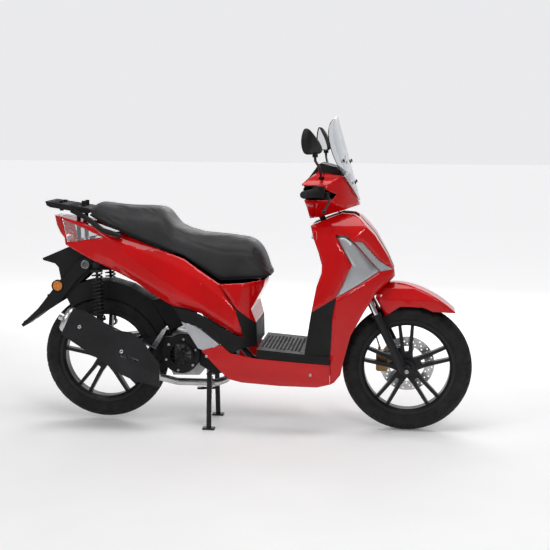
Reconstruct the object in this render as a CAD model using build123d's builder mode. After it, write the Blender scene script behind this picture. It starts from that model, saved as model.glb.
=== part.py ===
from build123d import *
import os
from math import cos, hypot, radians, sin, tan

# Big-wheel step-through scooter, in millimetres: +X forward, +Y to the rider's left, +Z up.
# The origin is on the ground at the middle of the bounding box. Outlines are given as
# (station, height) pairs, where the station is the distance ahead of the rear axle.

os.makedirs("parts", exist_ok=True)

# ---------------------------------------------------------------- driving dimensions
wheelbase = 1334.5
tyre_radius = 280
tyre_half_width = 48
rim_inner_radius = 185
rear_wheel_lift = 15            # the centre stand holds the rear wheel off the ground
plate_tip_station = -376        # rearmost point, the foot of the number-plate holder
handlebar_half_width = 350
panel = 3                       # wall of the moulded body panels
gap = 1                         # seam between neighbouring panels
rake = 27                       # steering axis from the vertical, degrees
fork_offset = 30                # fork legs ahead of the steering axis
axle_lead = 12                  # front axle ahead of the fork legs
fork_spread = 85                # fork leg from the centre plane
tube_radius = 14

rear_axle_x = -(wheelbase + tyre_radius + plate_tip_station) / 2
front_axle_x = rear_axle_x + wheelbase
rear_axle_z = tyre_radius + rear_wheel_lift
front_axle_z = tyre_radius
swing_pivot = (440, 440)        # engine unit pivot, station and height
stand_pivot = (480, 241)        # centre stand pivot, station and height
shock_top = (-15, 715)
shock_foot = (0, 425)
shock_y = 110
seat_hinge = (708, 650)
glove_hinge = (951, 640.5)
fan_centre = (361, 330)


# ---------------------------------------------------------------- helpers
def at(point, y=0):
    """Row coordinates of a (station, height) point at a given Y."""
    return (rear_axle_x + point[0], y, point[1])


def flat(points):
    """Sketch coordinates, on Plane.XZ, of (station, height) points."""
    return [(rear_axle_x + station, height) for station, height in points]


def inset_outline(points, distance):
    """Move every edge of a closed outline inwards by a distance (outwards if negative)."""
    following = points[1:] + points[:1]
    area = sum(x0 * z1 - x1 * z0 for (x0, z0), (x1, z1) in zip(points, following))
    normals = []
    for (x0, z0), (x1, z1) in zip(points, following):
        length = hypot(x1 - x0, z1 - z0) * (1 if area > 0 else -1)
        normals.append(((z0 - z1) / length, (x1 - x0) / length))
    moved = []
    for (x, z), (ax, az), (bx, bz) in zip(points, normals[-1:] + normals[:-1], normals):
        reach = distance / (1 + ax * bx + az * bz)
        moved.append((x + reach * (ax + bx), z + reach * (az + bz)))
    return moved


def side_plate(points, y_high, y_low, radius=0, inset=0, mode=Mode.ADD):
    """Extrude a side outline from Y = y_high down to Y = y_low."""
    points = inset_outline(points, inset)
    with BuildSketch(Plane.XZ.offset(-y_high)) as profile:
        with BuildLine():
            if radius:
                FilletPolyline(*flat(points), radius=radius, close=True)
            else:
                Polyline(*flat(points), close=True)
        make_face()
    extrude(profile.sketch, amount=y_high - y_low, mode=mode)


def plan_prism(half_outline, z_low, z_high, inset=0, mode=Mode.ADD):
    """Extrude a plan outline upwards; its left side is given as (station, half width)."""
    left = [(rear_axle_x + station - inset, width - inset) for station, width in half_outline]
    right = [(x, -y) for x, y in reversed(left)]
    with BuildSketch(Plane.XY.offset(z_low)) as profile:
        with BuildLine():
            Spline(*left)
            Line(left[-1], right[0])
            Spline(*right)
            Line(right[-1], left[0])
        make_face()
    extrude(profile.sketch, amount=z_high - z_low, mode=mode)


def front_prism(half_outline, station_low, station_high, inset=0, mode=Mode.ADD):
    """Extrude a front-view outline along X; its left side is given as (half width, height)."""
    one = [(width - inset, height - inset) for width, height in half_outline]
    other = [(-y, z) for y, z in reversed(one)]
    with BuildSketch(Plane.YZ.offset(rear_axle_x + station_low)) as profile:
        with BuildLine():
            Spline(*one)
            Line(one[-1], other[0])
            Spline(*other)
            Line(other[-1], one[0])
        make_face()
    extrude(profile.sketch, amount=station_high - station_low, mode=mode)


def tube(points, radius, bend, mode=Mode.ADD):
    """Sweep a round bar along straight runs joined by tangent arcs."""
    with BuildLine() as path:
        if len(points) > 2:
            FilletPolyline(*points, radius=bend)
        else:
            Line(*points)
    with BuildSketch(Plane(origin=path.line @ 0, z_dir=path.line % 0)) as profile:
        Circle(radius)
    sweep(profile.sketch, path=path.line, mode=mode)


def rod(start, end, radius, mode=Mode.ADD):
    """A straight round bar between two points."""
    direction = Vector(*end) - Vector(*start)
    with BuildSketch(Plane(origin=start, z_dir=direction)) as profile:
        Circle(radius)
    extrude(profile.sketch, amount=direction.length, mode=mode)


def crossbar(point, radius, y_high, y_low, mode=Mode.ADD):
    """A round bar along Y through a (station, height) point."""
    with BuildSketch(Plane.XZ.offset(-y_high)) as profile:
        with Locations(flat([point])[0]):
            Circle(radius)
    extrude(profile.sketch, amount=y_high - y_low, mode=mode)


def on_axis(height, forward=0, y=0):
    """A point at a height on the steering axis, or on a line parallel to it, forward of it."""
    lead = (fork_offset + axle_lead - forward) / cos(radians(rake))
    station = wheelbase - lead - (height - front_axle_z) * tan(radians(rake))
    return at((station, height), y)


def finish(piece, name):
    """Label a finished piece and write its STEP file."""
    piece.label = name
    export_step(piece, f"parts/{name}.step")


# ---------------------------------------------------------------- wheels
def build_tyre(centre_x, centre_z):
    """A hollow tyre: round crown, bulging side walls, beads on the rim."""
    with BuildPart() as tyre:
        with BuildSketch(Plane.YZ.offset(centre_x)):
            with BuildLine():
                ThreePointArc(
                    (-tyre_half_width, centre_z + 240),
                    (0, centre_z + tyre_radius),
                    (tyre_half_width, centre_z + 240),
                )
                ThreePointArc((tyre_half_width, centre_z + 240), (46, centre_z + 224),
                              (39, centre_z + 211))
                Polyline((39, centre_z + 211), (31, centre_z + 209), (31, centre_z + 203.5),
                         (23, centre_z + 203.5))
                ThreePointArc((23, centre_z + 203.5), (40, centre_z + 238),
                              (0, centre_z + tyre_radius - 9))
                ThreePointArc((0, centre_z + tyre_radius - 9), (-40, centre_z + 238),
                              (-23, centre_z + 203.5))
                Polyline((-23, centre_z + 203.5), (-31, centre_z + 203.5), (-31, centre_z + 209),
                         (-39, centre_z + 211))
                ThreePointArc((-39, centre_z + 211), (-46, centre_z + 224),
                              (-tyre_half_width, centre_z + 240))
            make_face()
        revolve(axis=Axis((centre_x, 0, centre_z), (0, 1, 0)), revolution_arc=360)
    return tyre.part


with BuildSketch() as spoke_pair:
    for edge in (1, -1):
        with BuildLine():
            Polyline(
                (26, edge * 6),
                (78, edge * 9),
                (188, edge * 21),
                (188, edge * 35),
                (80, edge * 26),
                (26, edge * 28),
                close=True,
            )
        make_face()


def build_rim(centre_x, centre_z, hub_half_width, bore):
    """A cast wheel: drop-centre ring, bored hub and five pairs of spokes."""
    seat = 203
    with BuildPart() as rim:
        with BuildSketch(Plane.YZ.offset(centre_x)):
            with BuildLine():
                Polyline(
                    (-37, centre_z + 209),
                    (-33, centre_z + 209),
                    (-32, centre_z + seat),
                    (-22, centre_z + seat),
                    (-16, centre_z + 193),
                    (16, centre_z + 193),
                    (22, centre_z + seat),
                    (32, centre_z + seat),
                    (33, centre_z + 209),
                    (37, centre_z + 209),
                    (37, centre_z + 196),
                    (24, centre_z + rim_inner_radius),
                    (-24, centre_z + rim_inner_radius),
                    (-37, centre_z + 196),
                    close=True,
                )
            make_face()
        revolve(axis=Axis((centre_x, 0, centre_z), (0, 1, 0)), revolution_arc=360)
        with BuildSketch(Plane.XZ.offset(-16)):
            with Locations((centre_x, centre_z)):
                with PolarLocations(0, 5, start_angle=92):
                    add(spoke_pair.sketch)
        extrude(amount=32)
        with BuildSketch(Plane.XZ.offset(-hub_half_width)):
            with Locations((centre_x, centre_z)):
                Circle(36)
        extrude(amount=2 * hub_half_width)
        with BuildSketch(Plane.XZ.offset(-hub_half_width)):
            with Locations((centre_x, centre_z)):
                Circle(bore)
        extrude(amount=2 * hub_half_width, mode=Mode.SUBTRACT)
    return rim.part


front_tyre = build_tyre(front_axle_x, front_axle_z)
rear_tyre = build_tyre(rear_axle_x, rear_axle_z)
front_rim = build_rim(front_axle_x, front_axle_z, 50, 8.05)
rear_wheel = build_rim(rear_axle_x, rear_axle_z, 46, 10)
with BuildPart() as rear_rim:
    add(rear_wheel)
    crossbar((0, rear_axle_z), 10, 88, -84)

# Brake disc on the left of the front hub, with two rings of ventilation holes.
disc_y = 62
with BuildPart() as front_disc:
    with BuildSketch(Plane.XZ.offset(-disc_y)):
        with Locations((front_axle_x, front_axle_z)):
            Circle(120)
            Circle(78, mode=Mode.SUBTRACT)
            for ring_radius, turn in ((88, 0), (99, 7.5), (110, 15)):
                with PolarLocations(ring_radius, 16, start_angle=turn):
                    Circle(3.5, mode=Mode.SUBTRACT)
    extrude(amount=4)
    with BuildSketch(Plane.XZ.offset(-disc_y)):
        with Locations((front_axle_x, front_axle_z)):
            with PolarLocations(57, 5):
                Rectangle(48, 16)
            Circle(40)
            Circle(20, mode=Mode.SUBTRACT)
    extrude(amount=4)
    with BuildSketch(Plane.XZ.offset(4 - disc_y)):
        with Locations((front_axle_x, front_axle_z)):
            Circle(34)
            Circle(20, mode=Mode.SUBTRACT)
    extrude(amount=disc_y - 4 - 50)

# ---------------------------------------------------------------- front fork
def leg_point(height, side):
    """A point on a fork leg's axis; side is -1 for the right leg and 1 for the left."""
    return on_axis(height, fork_offset, side * fork_spread)


with BuildPart() as fork_tubes:
    for side in (-1, 1):
        rod(leg_point(455, side), leg_point(640, side), 13)

with BuildPart() as fork_lowers:
    for side in (-1, 1):
        rod(leg_point(268, side), leg_point(505, side), 18)
        rod(leg_point(505, side), leg_point(519, side), 21)
        rod(leg_point(360, side), leg_point(519, side), 14, mode=Mode.SUBTRACT)
        rod(leg_point(506, side), leg_point(519, side), 13.05)
        rod(leg_point(500, side), leg_point(520, side), 13.05, mode=Mode.SUBTRACT)
    crossbar((wheelbase, front_axle_z), 21, 106, 64 + 4)
    crossbar((wheelbase, front_axle_z), 21, -68, -106)
    crossbar((wheelbase, front_axle_z), 8, 112, -112)
    with Locations(at((wheelbase, front_axle_z), -112), at((wheelbase, front_axle_z), 112)):
        Cylinder(12, 10, rotation=(90, 0, 0))

# Brake caliper behind the left fork leg, round the rear edge of the disc.
caliper_centre = (1225, 292)
hose_y = 58
with BuildPart() as front_caliper:
    with BuildSketch(Plane.XZ.offset(-78)):
        with Locations(flat([caliper_centre])[0]):
            RectangleRounded(52, 92, 12)
    extrude(amount=42)
    with BuildSketch(Plane.XZ.offset(-(disc_y + 2))):
        with Locations((front_axle_x, front_axle_z)):
            Circle(122)
    extrude(amount=8, mode=Mode.SUBTRACT)
    side_plate([(1222, 262), (1296, 290), (1296, 322), (1222, 322)], 78, 70)
    rod(at((1213, 330), hose_y), at((1213, 352), hose_y), 6)
    add(fork_lowers.part, mode=Mode.SUBTRACT)

with BuildPart() as steering_stem:
    rod(on_axis(600), on_axis(985), 13)
    rod(on_axis(650), on_axis(662), 19.95)
    rod(on_axis(828), on_axis(840), 19.95)
    yoke_plane = Plane(origin=on_axis(600), x_dir=(cos(radians(rake)), 0, sin(radians(rake))),
                       z_dir=(-sin(radians(rake)), 0, cos(radians(rake))))
    with BuildSketch(yoke_plane):
        Circle(30)
        with BuildLine():
            Polyline((-22, 40), (-22, -40), (fork_offset - 14, -fork_spread - 22),
                     (fork_offset + 20, -fork_spread - 22), (fork_offset + 20, fork_spread + 22),
                     (fork_offset - 14, fork_spread + 22), close=True)
        make_face()
    extrude(amount=34)
    for side in (-1, 1):
        rod(leg_point(560, side), leg_point(700, side), 13, mode=Mode.SUBTRACT)

# Front mudguard on the yoke: a crowned strip above the tyre with side skirts.
fender_top = [(1206, 628), (1276, 652), (1357, 638), (1436, 603), (1502, 560), (1536, 531)]
fender_inner = [(1180, 613), (1212, 627), (1278, 647), (1356, 634), (1434, 599), (1499, 556), (1530, 526)]
with BuildPart() as fender_room:
    with BuildSketch(Plane.XZ.offset(-73)):
        with BuildLine():
            Spline(*flat(fender_inner))
            Polyline(*flat([(1530, 526), (1480, 480), (1180, 480), (1180, 613)]))
        make_face()
    extrude(amount=146)
    with BuildSketch(Plane.YZ.offset(rear_axle_x + 1150)):
        with BuildLine():
            Polyline((-73, 470), (-73, 585.4), (-53.8, 627.6), (-21, 652.7), (21, 652.7), (53.8, 627.6),
                     (73, 585.4), (73, 470), close=True)
        make_face()
    extrude(amount=420, mode=Mode.INTERSECT)
with BuildPart() as front_fender:
    with BuildSketch(Plane.XZ.offset(-76)):
        with BuildLine():
            Spline(*flat(fender_top))
            Polyline(*flat([(1536, 531), (1505, 532), (1440, 535), (1392, 553), (1300, 553),
                            (1240, 512), (1196, 590), (1206, 628)]))
        make_face()
    extrude(amount=152)
    with BuildSketch(Plane.YZ.offset(rear_axle_x + 1150)):
        with BuildLine():
            Polyline((-76, 480), (-76, 586), (-56, 630), (-22, 656), (22, 656), (56, 630),
                     (76, 586), (76, 480), close=True)
        make_face()
    extrude(amount=420, mode=Mode.INTERSECT)
    add(fender_room.part, mode=Mode.SUBTRACT)
    fender_bar = [(1156, 606), (1208, 606), (1208, 600), (1156, 600)]
    side_plate(fender_bar, 73, -73)
    rod(at((1184, 640), 53), at((1183, 590), 56), 6, mode=Mode.SUBTRACT)
    for side in (-1, 1):
        rod(leg_point(480, side), leg_point(700, side), 24, mode=Mode.SUBTRACT)
    with BuildSketch(yoke_plane):
        Rectangle(260, 260)
    extrude(amount=60, mode=Mode.SUBTRACT)

# ---------------------------------------------------------------- frame
with BuildPart() as frame:
    rod(on_axis(648), on_axis(842), 27)
    tube([at((1092, 700)), at((1035, 570)), at((975, 420)), at((940, 300)), at((880, 262))], 19, 60)
    for side in (-1, 1):
        tube(
            [
                at((905, 272), 0),
                at((860, 272), side * 70),
                at((640, 272), side * 105),
                at((590, 330), side * 105),
                at((520, 480), side * 105),
                at((330, 600), side * 105),
                at((30, 742), side * 85),
                at((-110, 806), side * 60),
            ],
            tube_radius,
            35,
        )
    crossbar((330, 600), 10, 105, -105)
    crossbar((-15, 763), 10, 90, -90)
    crossbar((540, 437), 10, 105, -105)
    for side in (-1, 1):
        side_plate([(540, 437), (520, 480), (432, 462), (428, 424), (452, 424)],
                   side * 92 + 5, side * 92 - 5)
        side_plate([(-33, 772), (3, 756), (0, 708), (-30, 708)], side * 92 + 4, side * 92 - 4)
    crossbar(swing_pivot, 8.05, 120, -120, mode=Mode.SUBTRACT)
    crossbar(shock_top, 7, shock_y + 20, 84)
    crossbar(shock_top, 7, -84, -shock_y - 20)
    rod(on_axis(640), on_axis(850), 20, mode=Mode.SUBTRACT)


# ---------------------------------------------------------------- front body
front_side = [(902, 346), (931, 539), (952, 650), (972, 708), (973, 738), (958, 790), (935, 850), (921, 900),
              (1000, 932), (1048, 950), (1100, 947), (1125, 933), (1190, 862), (1246, 770), (1271, 715),
              (1276, 682), (1262, 668), (1204, 622), (1150, 538), (1096, 440), (1070, 340), (1056, 272),
              (1030, 240), (1012, 230), (1012, 346)]
front_arch = [(1300, 700), (1268, 686), (1206, 648), (1142, 558), (1086, 444), (1060, 344), (1046, 278),
              (1013, 246), (1013, 200), (1300, 200)]
front_plan = [(895, 203), (1000, 193), (1100, 168), (1180, 132), (1240, 88), (1276, 42)]
front_view = [(186, 205), (203, 330), (200, 520), (186, 700), (176, 800), (148, 890), (100, 945), (40, 970)]


def envelope(side, plan, view, station_low, station_high, inset):
    """Where a side outline, a plan outline and a front-view outline all agree."""
    with BuildPart() as body:
        side_plate(side, 240, -240, inset=inset)
        plan_prism(plan, 150, 1200, inset=inset, mode=Mode.INTERSECT)
        front_prism(view, station_low, station_high, inset=inset, mode=Mode.INTERSECT)
    return body.part


front_outer = envelope(front_side, front_plan, front_view, 880, 1300, 0)
with BuildPart() as front_room:
    side_plate(front_side, 240, -240, inset=panel)
    side_plate(front_arch, 240, -240)
    plan_prism(front_plan, 150, 1050, inset=panel, mode=Mode.INTERSECT)
    front_prism(front_view, 880, 1300, inset=panel, mode=Mode.INTERSECT)

# The rear wall and the cheeks beside the rider's shins are separate panels.
cheek = [(902, 346), (931, 539), (1034, 602), (1019, 520), (1012, 346)]
wall_strip = [(880, 560), (940, 560), (956, 650), (977, 708), (978, 738), (963, 790), (941, 850), (934, 880),
              (880, 880)]
steering_slot = [(925, 872), (1120, 872), (1120, 990), (925, 990)]
arrow = [(1028, 864), (1070, 862), (1102, 836), (1214, 707), (1130, 655), (1034, 602), (1098, 737)]
lamp = [(1106, 838), (1140, 834), (1212, 752), (1268, 712), (1216, 708)]

with BuildPart() as front_apron:
    add(front_outer)
    add(front_room.part, mode=Mode.SUBTRACT)
    side_plate(cheek, 240, -240, inset=-gap, mode=Mode.SUBTRACT)
    side_plate(wall_strip, 164, -164, mode=Mode.SUBTRACT)
    side_plate(steering_slot, 62, -62, mode=Mode.SUBTRACT)
    side_plate(arrow, 240, -240, inset=-gap, mode=Mode.SUBTRACT)
    side_plate(lamp, 240, -240, inset=-gap, mode=Mode.SUBTRACT)
    side_plate([(890, 346), (1012, 346), (1012, 200), (890, 200)], 240, -240, mode=Mode.SUBTRACT)

with BuildPart() as arrow_trims:
    add(front_outer)
    add(front_room.part, mode=Mode.SUBTRACT)
    side_plate(arrow, 240, -240, mode=Mode.INTERSECT)
    side_plate(lamp, 240, -240, inset=-gap, mode=Mode.SUBTRACT)

with BuildPart() as headlights:
    add(front_outer)
    add(front_room.part, mode=Mode.SUBTRACT)
    side_plate(lamp, 240, -240, mode=Mode.INTERSECT)

glove_low, glove_high, glove_near, glove_far = 640, 780, 44, 150
lock_direction = Vector(-0.9, 0, 0.44).normalized()
lock_foot = Vector(*at((968, 836), -108))
with BuildPart() as leg_shield:
    add(front_outer)
    add(front_room.part, mode=Mode.SUBTRACT)
    side_plate(wall_strip, 163, -163, mode=Mode.INTERSECT)
    side_plate([(880, 400), (1000, 400), (1000, 604), (880, 604)], 240, -240, mode=Mode.SUBTRACT)
    side_plate(steering_slot, 62, -62, mode=Mode.SUBTRACT)
    side_plate([(880, glove_low), (990, glove_low), (990, glove_high), (880, glove_high)],
               glove_far, glove_near, mode=Mode.SUBTRACT)
    side_plate([(977, glove_low - 3), (1060, glove_low - 3), (1040, glove_high + 3), (968, glove_high + 3)],
               glove_far + 3, glove_near - 3)
    side_plate([(960, glove_low), (1057, glove_low), (1037, glove_high), (945, glove_high)],
               glove_far, glove_near, mode=Mode.SUBTRACT)
    crossbar(glove_hinge, 3.7, 134.3, 59.7, mode=Mode.SUBTRACT)
    crossbar(glove_hinge, 3.2, 144, 134.3)
    crossbar(glove_hinge, 3.2, 59.7, 50)
    crossbar(glove_hinge, 1.5, 136, 58)
    rod(tuple(lock_foot), tuple(lock_foot + lock_direction * 30), 17)
    rod(tuple(lock_foot - lock_direction), tuple(lock_foot + lock_direction * 60), 13.05,
        mode=Mode.SUBTRACT)

# ---------------------------------------------------------------- floor
with BuildPart() as floor_panel:
    add(front_outer)
    add(front_room.part, mode=Mode.SUBTRACT)
    side_plate([(880, 346), (931, 539), (1034, 602), (1019, 520), (1012, 346)], 240, -240,
               mode=Mode.INTERSECT)
    side_plate([(700, 376), (1010, 352), (1010, 318), (700, 340)], 202, -202)
    side_plate([(690, 371), (1014, 346), (1014, 300), (690, 330)], 199, -199, mode=Mode.SUBTRACT)
    side_plate([(915, 300), (915, 400), (1000, 400), (1000, 300)], 30, -30, mode=Mode.SUBTRACT)


# Painted sills below the floor, folded under at the bottom.
sill_side = [(464, 364), (546, 393), (590, 356), (697, 337), (1011, 315), (1011, 230), (955, 212), (800, 214),
             (635, 227), (580, 242)]
sill_plan = [(440, 205), (620, 206), (800, 206), (1020, 193)]
sill_view = [(120, 205), (172, 214), (196, 250), (205, 330), (204, 420)]
sill_room_view = [(110, 190), (168, 217), (192, 252), (202, 330), (201, 520)]
with BuildPart() as sill_room:
    side_plate([(400, 500), (1100, 500), (1100, 180), (400, 180)], 240, -240)
    plan_prism(sill_plan, 150, 520, inset=panel, mode=Mode.INTERSECT)
    front_prism(sill_room_view, 390, 1110, mode=Mode.INTERSECT)
with BuildPart() as side_sills:
    side_plate(sill_side, 240, -240)
    plan_prism(sill_plan, 150, 500, mode=Mode.INTERSECT)
    front_prism(sill_view, 400, 1100, mode=Mode.INTERSECT)
    add(sill_room.part, mode=Mode.SUBTRACT)
    side_plate([(400, 500), (1100, 500), (1100, 180), (400, 180)], 122, -122, mode=Mode.SUBTRACT)

# ---------------------------------------------------------------- rear body
rear_side = [(-216, 921), (-100, 900), (-7, 880), (105, 852), (245, 800), (378, 752), (470, 692), (534, 650),
             (640, 656), (722, 660), (715, 627), (670, 540), (691, 475), (694, 379), (640, 379), (597, 359),
             (546, 396), (467, 457), (378, 487), (340, 546), (240, 598), (173, 646), (0, 723), (-160, 795),
             (-165, 825), (-185, 845), (-205, 880)]
rear_bottom = [(-150, 812), (0, 735), (178, 657), (245, 608), (346, 554), (386, 495), (472, 466), (552, 404),
               (600, 372), (640, 386), (688, 386), (688, 300), (300, 330), (-200, 700)]
rear_top = [(-60, 880), (105, 843), (245, 790), (378, 743), (470, 684), (534, 641), (712, 652), (712, 720),
            (534, 720), (378, 820), (105, 920), (-60, 930)]
rear_plan = [(-218, 46), (-120, 98), (0, 136), (150, 167), (350, 191), (520, 203), (620, 199), (680, 150),
             (724, 62)]
rear_view = [(204, 330), (205, 420), (200, 540), (190, 640), (172, 740), (150, 830), (120, 900), (84, 945)]
tail_lens = [(-240, 960), (-195, 914), (-60, 868), (22, 836), (-152, 806), (-170, 780), (-240, 780)]
rear_outer = envelope(rear_side, rear_plan, rear_view, -240, 740, 0)
with BuildPart() as rear_room:
    side_plate(rear_side, 240, -240, inset=panel)
    side_plate(rear_bottom, 240, -240)
    side_plate(rear_top, 240, -240)
    plan_prism(rear_plan, 150, 1050, inset=panel, mode=Mode.INTERSECT)
    front_prism(rear_view, -240, 740, inset=panel, mode=Mode.INTERSECT)

# Luggage rack and grab rails, bolted through the tail to the frame.
rack_holes = [(-190, 29), (-190, -29), (-90, 29), (-90, -29)]
with BuildPart() as luggage_rack:
    side_plate([(-246, 984), (-52, 956), (-42, 938), (-60, 932), (-225, 958), (-240, 966)], 86, -86)
    for station in (-218, -140):
        with BuildSketch(Plane.XY.offset(920)):
            for width in (-58, 0, 58):
                with Locations((rear_axle_x + station + 14, width)):
                    RectangleRounded(44, 30, 8)
        extrude(amount=80, mode=Mode.SUBTRACT)
    for side in (-1, 1):
        tube(
            [at((-130, 944), side * 72), at((-50, 918), side * 130), at((30, 868), side * 160),
             at((108, 845), side * 160)],
            11,
            40,
        )
        rod(at((-104, 820), side * 60), at((-104, 942), side * 60), 9)
    with Locations(*[at((station, 984), y) for station, y in rack_holes]):
        Cylinder(9, 44, align=(Align.CENTER, Align.CENTER, Align.MAX))
        Cylinder(3.3, 60, mode=Mode.SUBTRACT)

red_side = [(-260, 960), (536, 760), (536, 655), (607, 551), (645, 421), (537, 475), (461, 520), (406, 537),
            (330, 549), (300, 500), (-260, 500)]
cowl_side = [(537, 760), (537, 657), (610, 553), (693, 477), (760, 477), (760, 760)]
vent_side = [(376, 485), (460, 455), (541, 394), (487, 361), (449, 373)]


def rear_panel(side, y_high, y_low):
    """The part of the rear body's shell inside a side outline, clear of the rack."""
    with BuildPart() as piece:
        add(rear_outer)
        add(rear_room.part, mode=Mode.SUBTRACT)
        side_plate(side, y_high, y_low, mode=Mode.INTERSECT)
        add(luggage_rack.part, mode=Mode.SUBTRACT)
    return piece.part


right_shell = rear_panel(red_side, -gap / 2, -240)
with BuildPart() as side_panel_right:
    add(right_shell)
    side_plate(tail_lens, 240, -240, inset=-gap, mode=Mode.SUBTRACT)
left_shell = rear_panel(red_side, 240, gap / 2)
with BuildPart() as side_panel_left:
    add(left_shell)
    side_plate(tail_lens, 240, -240, inset=-gap, mode=Mode.SUBTRACT)
tail_light = rear_panel(tail_lens, 240, -240)
cowl_shell = rear_panel(cowl_side, 240, -240)
with BuildPart() as seat_cowl:
    add(cowl_shell)
    for y in (24, -36):
        side_plate([(704, 680), (704, 641), (730, 641), (730, 680)], y + 12, y, mode=Mode.SUBTRACT)
low_shell = rear_panel([(300, 700), (760, 700), (760, 300), (300, 300)], 240, -240)
with BuildPart() as lower_trims:
    add(low_shell)
    side_plate(red_side, 240, -240, inset=-gap, mode=Mode.SUBTRACT)
    side_plate(cowl_side, 240, -240, inset=-gap, mode=Mode.SUBTRACT)

with BuildPart() as vent_room:
    side_plate(vent_side, 240, -240, inset=-10)
    plan_prism(rear_plan, 150, 1050, inset=2 * panel, mode=Mode.INTERSECT)
    front_prism(rear_view, -240, 740, inset=2 * panel, mode=Mode.INTERSECT)
with BuildPart() as side_vents:
    side_plate(vent_side, 240, -240)
    plan_prism(rear_plan, 150, 1050, mode=Mode.INTERSECT)
    front_prism(rear_view, -240, 740, mode=Mode.INTERSECT)
    add(vent_room.part, mode=Mode.SUBTRACT)
    add(side_sills.part, mode=Mode.SUBTRACT)
    add(lower_trims.part, mode=Mode.SUBTRACT)

# Undertray, number-plate holder and its two round side reflectors.
holder_side = [(-150, 784), (-60, 738), (62, 684), (-45, 683), (-100, 630), (-160, 581), (-300, 473),
               (-368, 420), (-376, 431), (-300, 502), (-190, 640), (-200, 692), (-215, 708), (-268, 722),
               (-272, 731)]
reflector_spot = (-203, 610)
plate_half_spacing = 30
with BuildPart() as holder_room:
    side_plate(holder_side, 58, -58, inset=4)
    side_plate([(-50, 700), (-104, 640), (-164, 591), (-290, 494), (-290, 440), (-60, 600), (50, 670),
                (42, 690)], 58, -58)
with BuildPart() as rear_mudguard:
    side_plate(holder_side, 62, -62)
    add(holder_room.part, mode=Mode.SUBTRACT)
    with Locations(*[at((-232, 560), side * plate_half_spacing) for side in (-1, 1)]):
        Cylinder(6, 60, rotation=(0, 90, 0))
        Cylinder(3.2, 80, rotation=(0, 90, 0), mode=Mode.SUBTRACT)
    crossbar(reflector_spot, 27, 71, 62.05)
    crossbar(reflector_spot, 27, -62.05, -71)

# ---------------------------------------------------------------- seat and what it covers
seat_bottom = [(-38, 927), (33, 894), (105, 865), (245, 813), (378, 764), (470, 703), (534, 660), (640, 665),
               (735, 671)]
seat_plan = [(-48, 112), (60, 150), (200, 160), (330, 152), (450, 142), (560, 138), (650, 128), (715, 104),
             (748, 62)]
with BuildPart() as seat_cushion:
    with BuildSketch(Plane.XZ.offset(-170)):
        with BuildLine():
            Polyline(*flat([(-38, 958), (-38, 933), (33, 900), (105, 871), (245, 819), (378, 770), (470, 709),
                            (534, 666), (640, 671), (735, 677)]))
            Spline(*flat([(735, 677), (742, 706), (714, 768), (680, 822), (637, 838), (550, 842), (440, 850),
                          (380, 866), (328, 888), (292, 942), (262, 961), (135, 962), (-14, 987), (-38, 958)]))
        make_face()
    extrude(amount=340)
    plan_prism(seat_plan, 600, 1050, mode=Mode.INTERSECT)
with BuildPart() as seat_base:
    side_plate(seat_bottom + [(735, 676.5), (640, 670.5), (534, 665.5), (470, 708.5), (378, 769.5),
                              (245, 818.5), (105, 870.5), (33, 899.5), (-38, 932.5)], 170, -170)
    plan_prism(seat_plan, 600, 1050, inset=2, mode=Mode.INTERSECT)
    for y in (-34, 26):
        side_plate([(696, 671), (696, 657), (701, 643), (713, 643), (714, 657), (716, 672)], y + 8, y)
    crossbar(seat_hinge, 4.05, 60, -60, mode=Mode.SUBTRACT)

bucket_side = [(290, 768), (378, 738), (470, 678), (534, 636), (684, 640), (664, 540), (676, 470), (640, 448),
               (575, 448), (480, 560), (340, 655)]
with BuildPart() as bucket_room:
    side_plate(bucket_side, 83, -83, inset=panel)
    side_plate([(294, 758), (378, 728), (470, 668), (534, 626), (680, 630), (680, 720), (534, 720),
                (294, 860)], 83, -83)
with BuildPart() as storage_bucket:
    side_plate(bucket_side, 86, -86)
    add(bucket_room.part, mode=Mode.SUBTRACT)
    for y in (-24, 16):
        side_plate([(668, 600), (680, 638), (700, 656), (712, 656), (713, 643), (684, 600)], y + 7, y)
    crossbar(seat_hinge, 4, 36, -36)

with BuildPart() as fuel_tank:
    tank_side = [(64, 740), (84, 838), (240, 780), (280, 764), (280, 672), (200, 672)]
    side_plate(tank_side, 70, -70, radius=12)
    side_plate(tank_side, 66, -66, radius=8, inset=4, mode=Mode.SUBTRACT)

with BuildPart() as glovebox_lid:
    add(front_outer)
    add(front_room.part, mode=Mode.SUBTRACT)
    side_plate([(880, glove_low + 1.5), (990, glove_low + 1.5), (990, glove_high - 1.5),
                (880, glove_high - 1.5)], glove_far - 1.5, glove_near + 1.5, mode=Mode.INTERSECT)
    crossbar(glove_hinge, 3.7, 150, 134, mode=Mode.SUBTRACT)
    crossbar(glove_hinge, 3.7, 60, 44, mode=Mode.SUBTRACT)
    crossbar(glove_hinge, 3.2, 134, 60)
    crossbar(glove_hinge, 1.55, 135, 59, mode=Mode.SUBTRACT)

# ---------------------------------------------------------------- engine unit
with BuildPart() as crankcase:
    side_plate([(294, 272), (312, 224), (430, 226), (460, 262), (500, 276), (500, 345), (462, 400),
                (462, 440), (440, 462), (418, 440), (405, 408), (312, 410), (294, 360)], 62, -62)
    side_plate([(503, 250), (590, 262), (596, 345), (503, 335)], 45, -45)
    for station in (520, 534, 548, 562, 576):
        side_plate([(station, 240), (station + 6, 240), (station + 6, 360), (station, 360)], 50, 41,
                   mode=Mode.SUBTRACT)
        side_plate([(station, 240), (station + 6, 240), (station + 6, 360), (station, 360)], -41, -50,
                   mode=Mode.SUBTRACT)
    crossbar(swing_pivot, 18, 84, -84)
    crossbar(swing_pivot, 8, 100, -100)
    for y in (50, -42):
        side_plate([(456, 268), (462, 226), (498, 226), (504, 284)], y, y - 8)
    crossbar(stand_pivot, 12.05, 60, -60, mode=Mode.SUBTRACT)
    crossbar(fan_centre, 14, -60, -100)

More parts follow.
